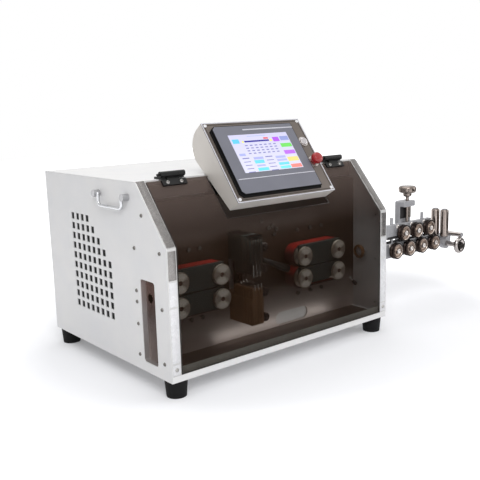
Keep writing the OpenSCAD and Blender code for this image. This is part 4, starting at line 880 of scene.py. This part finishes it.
# bright bolt heads on the straightener's bars
headSet = {"radius": 5.6, "rise": 1.5, "y": 68.0,
           "rows": [("upper", [(707.7, 212.0), (760.0, 211.6), (810.0, 212.0)], "slide"),
                    ("lower", [(681.0, 168.0)], "chassis")]}
r, rise, y, rows = headSet.values()
headProfile = [(0, rise), (r - 2.0, rise), (r, 0.4), (r, -0.3), (0, -0.3)]
for row, at, body in rows:
    turnedRow(row + "BarBolt", headProfile, 0.6, [spot(x, y, z) for x, z in at], toFront, 36,
              body, "straightener_metal", "capBright")

# brown strip over the roof's white front flange either side of the display housing, painted shade
flangeShadeSet = {"y": 89.8, "z": 365.0, "half": 15.6, "proud": 0.3, "left": 23.0, "right": 557.0, "gap": 3.0}
y, z, half, proud, left, right, gap = flangeShadeSet.values()
housingLow, housingHigh = (v / mm + footMid for v in boxOf("display_housing"))
for name, start, end in (("flangeShadeLeft", left, housingLow[0] - gap),
                         ("flangeShadeRight", housingHigh[0] + gap, right)):
    bar(name, (start, y, z), (end, y, z), toFront, flatProfile(half, proud, 0.1),
        "chassis", "case_paint", "flangeShadeBrown")

# upright ribs on the front and left face of both blade holders
ribSet = {"front": [(x, 20.0) for x in (206.5, 213.5, 220.5, 227.5)],
          "side": [(203.0, y) for y in (27.0, 36.0, 45.0)], "half": 1.6, "proud": 1.3,
          "rows": [("upper", 195.0, 262.0, "ribDark", "holder_black"),
                   ("lower", 92.0, 158.0, "holderBrass", "holder_brass")]}
ribProfile = flatProfile(ribSet["half"], ribSet["proud"], 0.2, 0.5, 0.5)
for half, low, high, look, slotName in ribSet["rows"]:
    for label, outward, at in (("FrontRib", toFront, ribSet["front"]), ("SideRib", toLeft, ribSet["side"])):
        for i, (x, y) in enumerate(at, 1):
            bar("%s%s%d" % (half, label, i), (x, y, high), (x, y, low), outward, ribProfile,
                half + "_cutter", slotName, look)

# smoked sheet in the wire outlet with a round hole on the wire line: rings of points from the hole out to the
# slot's rounded outline
outletSet = {"x": 1.2, "mid": (67.0, 130.0), "half": (23.3, 77.8), "corner": 6.0, "hole": (60.0, 177.0),
             "holeR": 8.0, "rings": 12, "steps": 96}
x, mid, half, corner, hole, holeR, rings, steps = outletSet.values()
t = np.linspace(0, 2 * np.pi, steps, endpoint=False)
ring = np.stack([np.cos(t), np.sin(t)], axis=-1)
outer = np.array(mid) + np.sign(ring) * (np.array(half) - corner) + ring * corner
inner = np.array(hole) + ring * holeR
sheet = inner + np.linspace(0, 1, rings)[:, None, None] * (outer - inner)
points = np.concatenate([np.full(sheet.shape[:2] + (1,), x), sheet], axis=-1)
outletSheet = surface("outletSheet", toMetres(points), wrapAcross=True, closed=False)
settle(outletSheet, "chassis", "cover_smoked", "outletSheet")
print("compartment detailed")

# floor, light and background
stageSet = {"floor": 6.0, "ambient": 0.46, "key": 34.0, "top": 18.0, "fill": 9.0, "inside": 0.17, "insideLow": 0.05,
            "floorGlow": 0.14, "fade": (0.46, 0.95), "fadeShape": (0.85, 1.05, 1.0)}


def sheetMesh(name, corners):
    mesh = bpy.data.meshes.new(name)
    mesh.from_pydata([tuple(c) for c in corners], [], [(0, 1, 2, 3)])
    return mesh


def seenRay(tree):
    # 1 for rays from the camera, from glossy surfaces and through glass
    path = addNode(tree, "ShaderNodeLightPath")
    total = path.outputs["Is Camera Ray"]
    for name in ("Is Glossy Ray", "Is Transmission Ray"):
        total = maths("MAXIMUM", total, path.outputs[name])
    return total


half = stageSet["floor"]
floorMesh = sheetMesh("studioFloor", [(-half, -half, 0), (half, -half, 0), (half, half, 0), (-half, half, 0)])
intoScene("studioFloor", floorMesh)
floorPaint = bpy.data.materials.new("studioFloorPaint")
tree = emptyTree(floorPaint)
flatWhite = addNode(tree, "ShaderNodeBsdfDiffuse", Color=(0.86, 0.865, 0.89, 1)).outputs[0]
shape = addNode(tree, "ShaderNodeVectorMath", operation="MULTIPLY")
feed(shape, 0, objectPlace(tree))
feed(shape, 1, stageSet["fadeShape"])
reach = addNode(tree, "ShaderNodeVectorMath", operation="LENGTH")
feed(reach, 0, shape.outputs["Vector"])
fade = spread(reach.outputs["Value"], *stageSet["fade"], stageSet["floorGlow"], 1.0)
both = addNode(tree, "ShaderNodeAddShader")
feed(both, 0, flatWhite)
feed(both, 1, addNode(tree, "ShaderNodeEmission", Strength=fade).outputs[0])
choose = addNode(tree, "ShaderNodeMixShader")
for i, source in enumerate((seenRay(tree), flatWhite, both.outputs[0])):
    feed(choose, i, source)
addNode(tree, "ShaderNodeOutputMaterial", Surface=choose.outputs[0])
floorMesh.materials.append(floorPaint)

world = bpy.data.worlds.new("studioWorld")
bpy.context.scene.world = world
tree = emptyTree(world)
glow = spread(seenRay(tree), 0.0, 1.0, stageSet["ambient"], 1.0)
sky = addNode(tree, "ShaderNodeBackground", Color=(1, 1, 1, 1), Strength=glow)
addNode(tree, "ShaderNodeOutputWorld", Surface=sky.outputs[0])


def softLight(name, place, aim, size, power):
    data = bpy.data.lights.new(name, "AREA")
    data.energy = power
    data.shape = "RECTANGLE"
    data.size, data.size_y = size
    away = unit(np.array(place) - np.array(aim))
    side = unit(np.cross((0.0, 0.0, 1.0), away))
    intoScene(name, data).matrix_world = facing(place, side, np.cross(away, side), away)


softLight("keyLight", (-1.3, -1.9, 1.9), (-0.1, 0.0, 0.2), (1.4, 1.4), stageSet["key"])
softLight("topLight", (0.1, 0.3, 2.3), (0.0, 0.01, 0.2), (2.0, 2.0), stageSet["top"])
softLight("fillLight", (2.0, -1.4, 1.1), (0.2, 0.0, 0.2), (1.4, 1.2), stageSet["fill"])
softLight("insideLowLight", spot(330, 64, 50), spot(330, 92, 70), (0.32, 0.02), stageSet["insideLow"])
softLight("insideLight", spot(290, 30, 262), spot(290, 90, 120), (0.42, 0.04), stageSet["inside"])


def darkCard(name, corners):
    # studio flag that only mirror-like surfaces see, so that bright metal has something dark to show
    mesh = sheetMesh(name, corners)
    material, tree, shader = startMaterial(name + "Felt")
    feed(shader, "Base Color", tint((20, 18, 17)))
    feed(shader, "Roughness", 1.0)
    mesh.materials.append(material)
    card = intoScene(name, mesh)
    for ray in ("camera", "diffuse", "shadow", "transmission", "volume_scatter"):
        setattr(card, "visible_" + ray, False)


cardSet = {"middle": (865, 60, 0), "away": 0.5, "tall": 0.5, "floor": ((0.85, -2.6), (1.9, -0.4)), "above": 0.004,
           "rows": [("cardNear", 222.0, 0.06), ("cardFront", 278.0, 0.2), ("cardRight", 340.0, 0.2)]}
middle, away, tall, ((left, near), (right, far)), above, rows = cardSet.values()
lift = tall * np.array(toTop)
for name, angle, wide in rows:
    toward = np.array([np.cos(np.radians(angle)), np.sin(np.radians(angle)), 0.0])
    along = np.array([-toward[1], toward[0], 0.0]) * wide / 2
    mid = spot(*middle) + away * toward
    darkCard(name, [mid - along, mid + along, mid + along + lift, mid - along + lift])
corners = ((left, near), (right, near), (right, far), (left, far))
darkCard("cardFloor", [(x, y, above) for x, y in corners])
print("stage set")
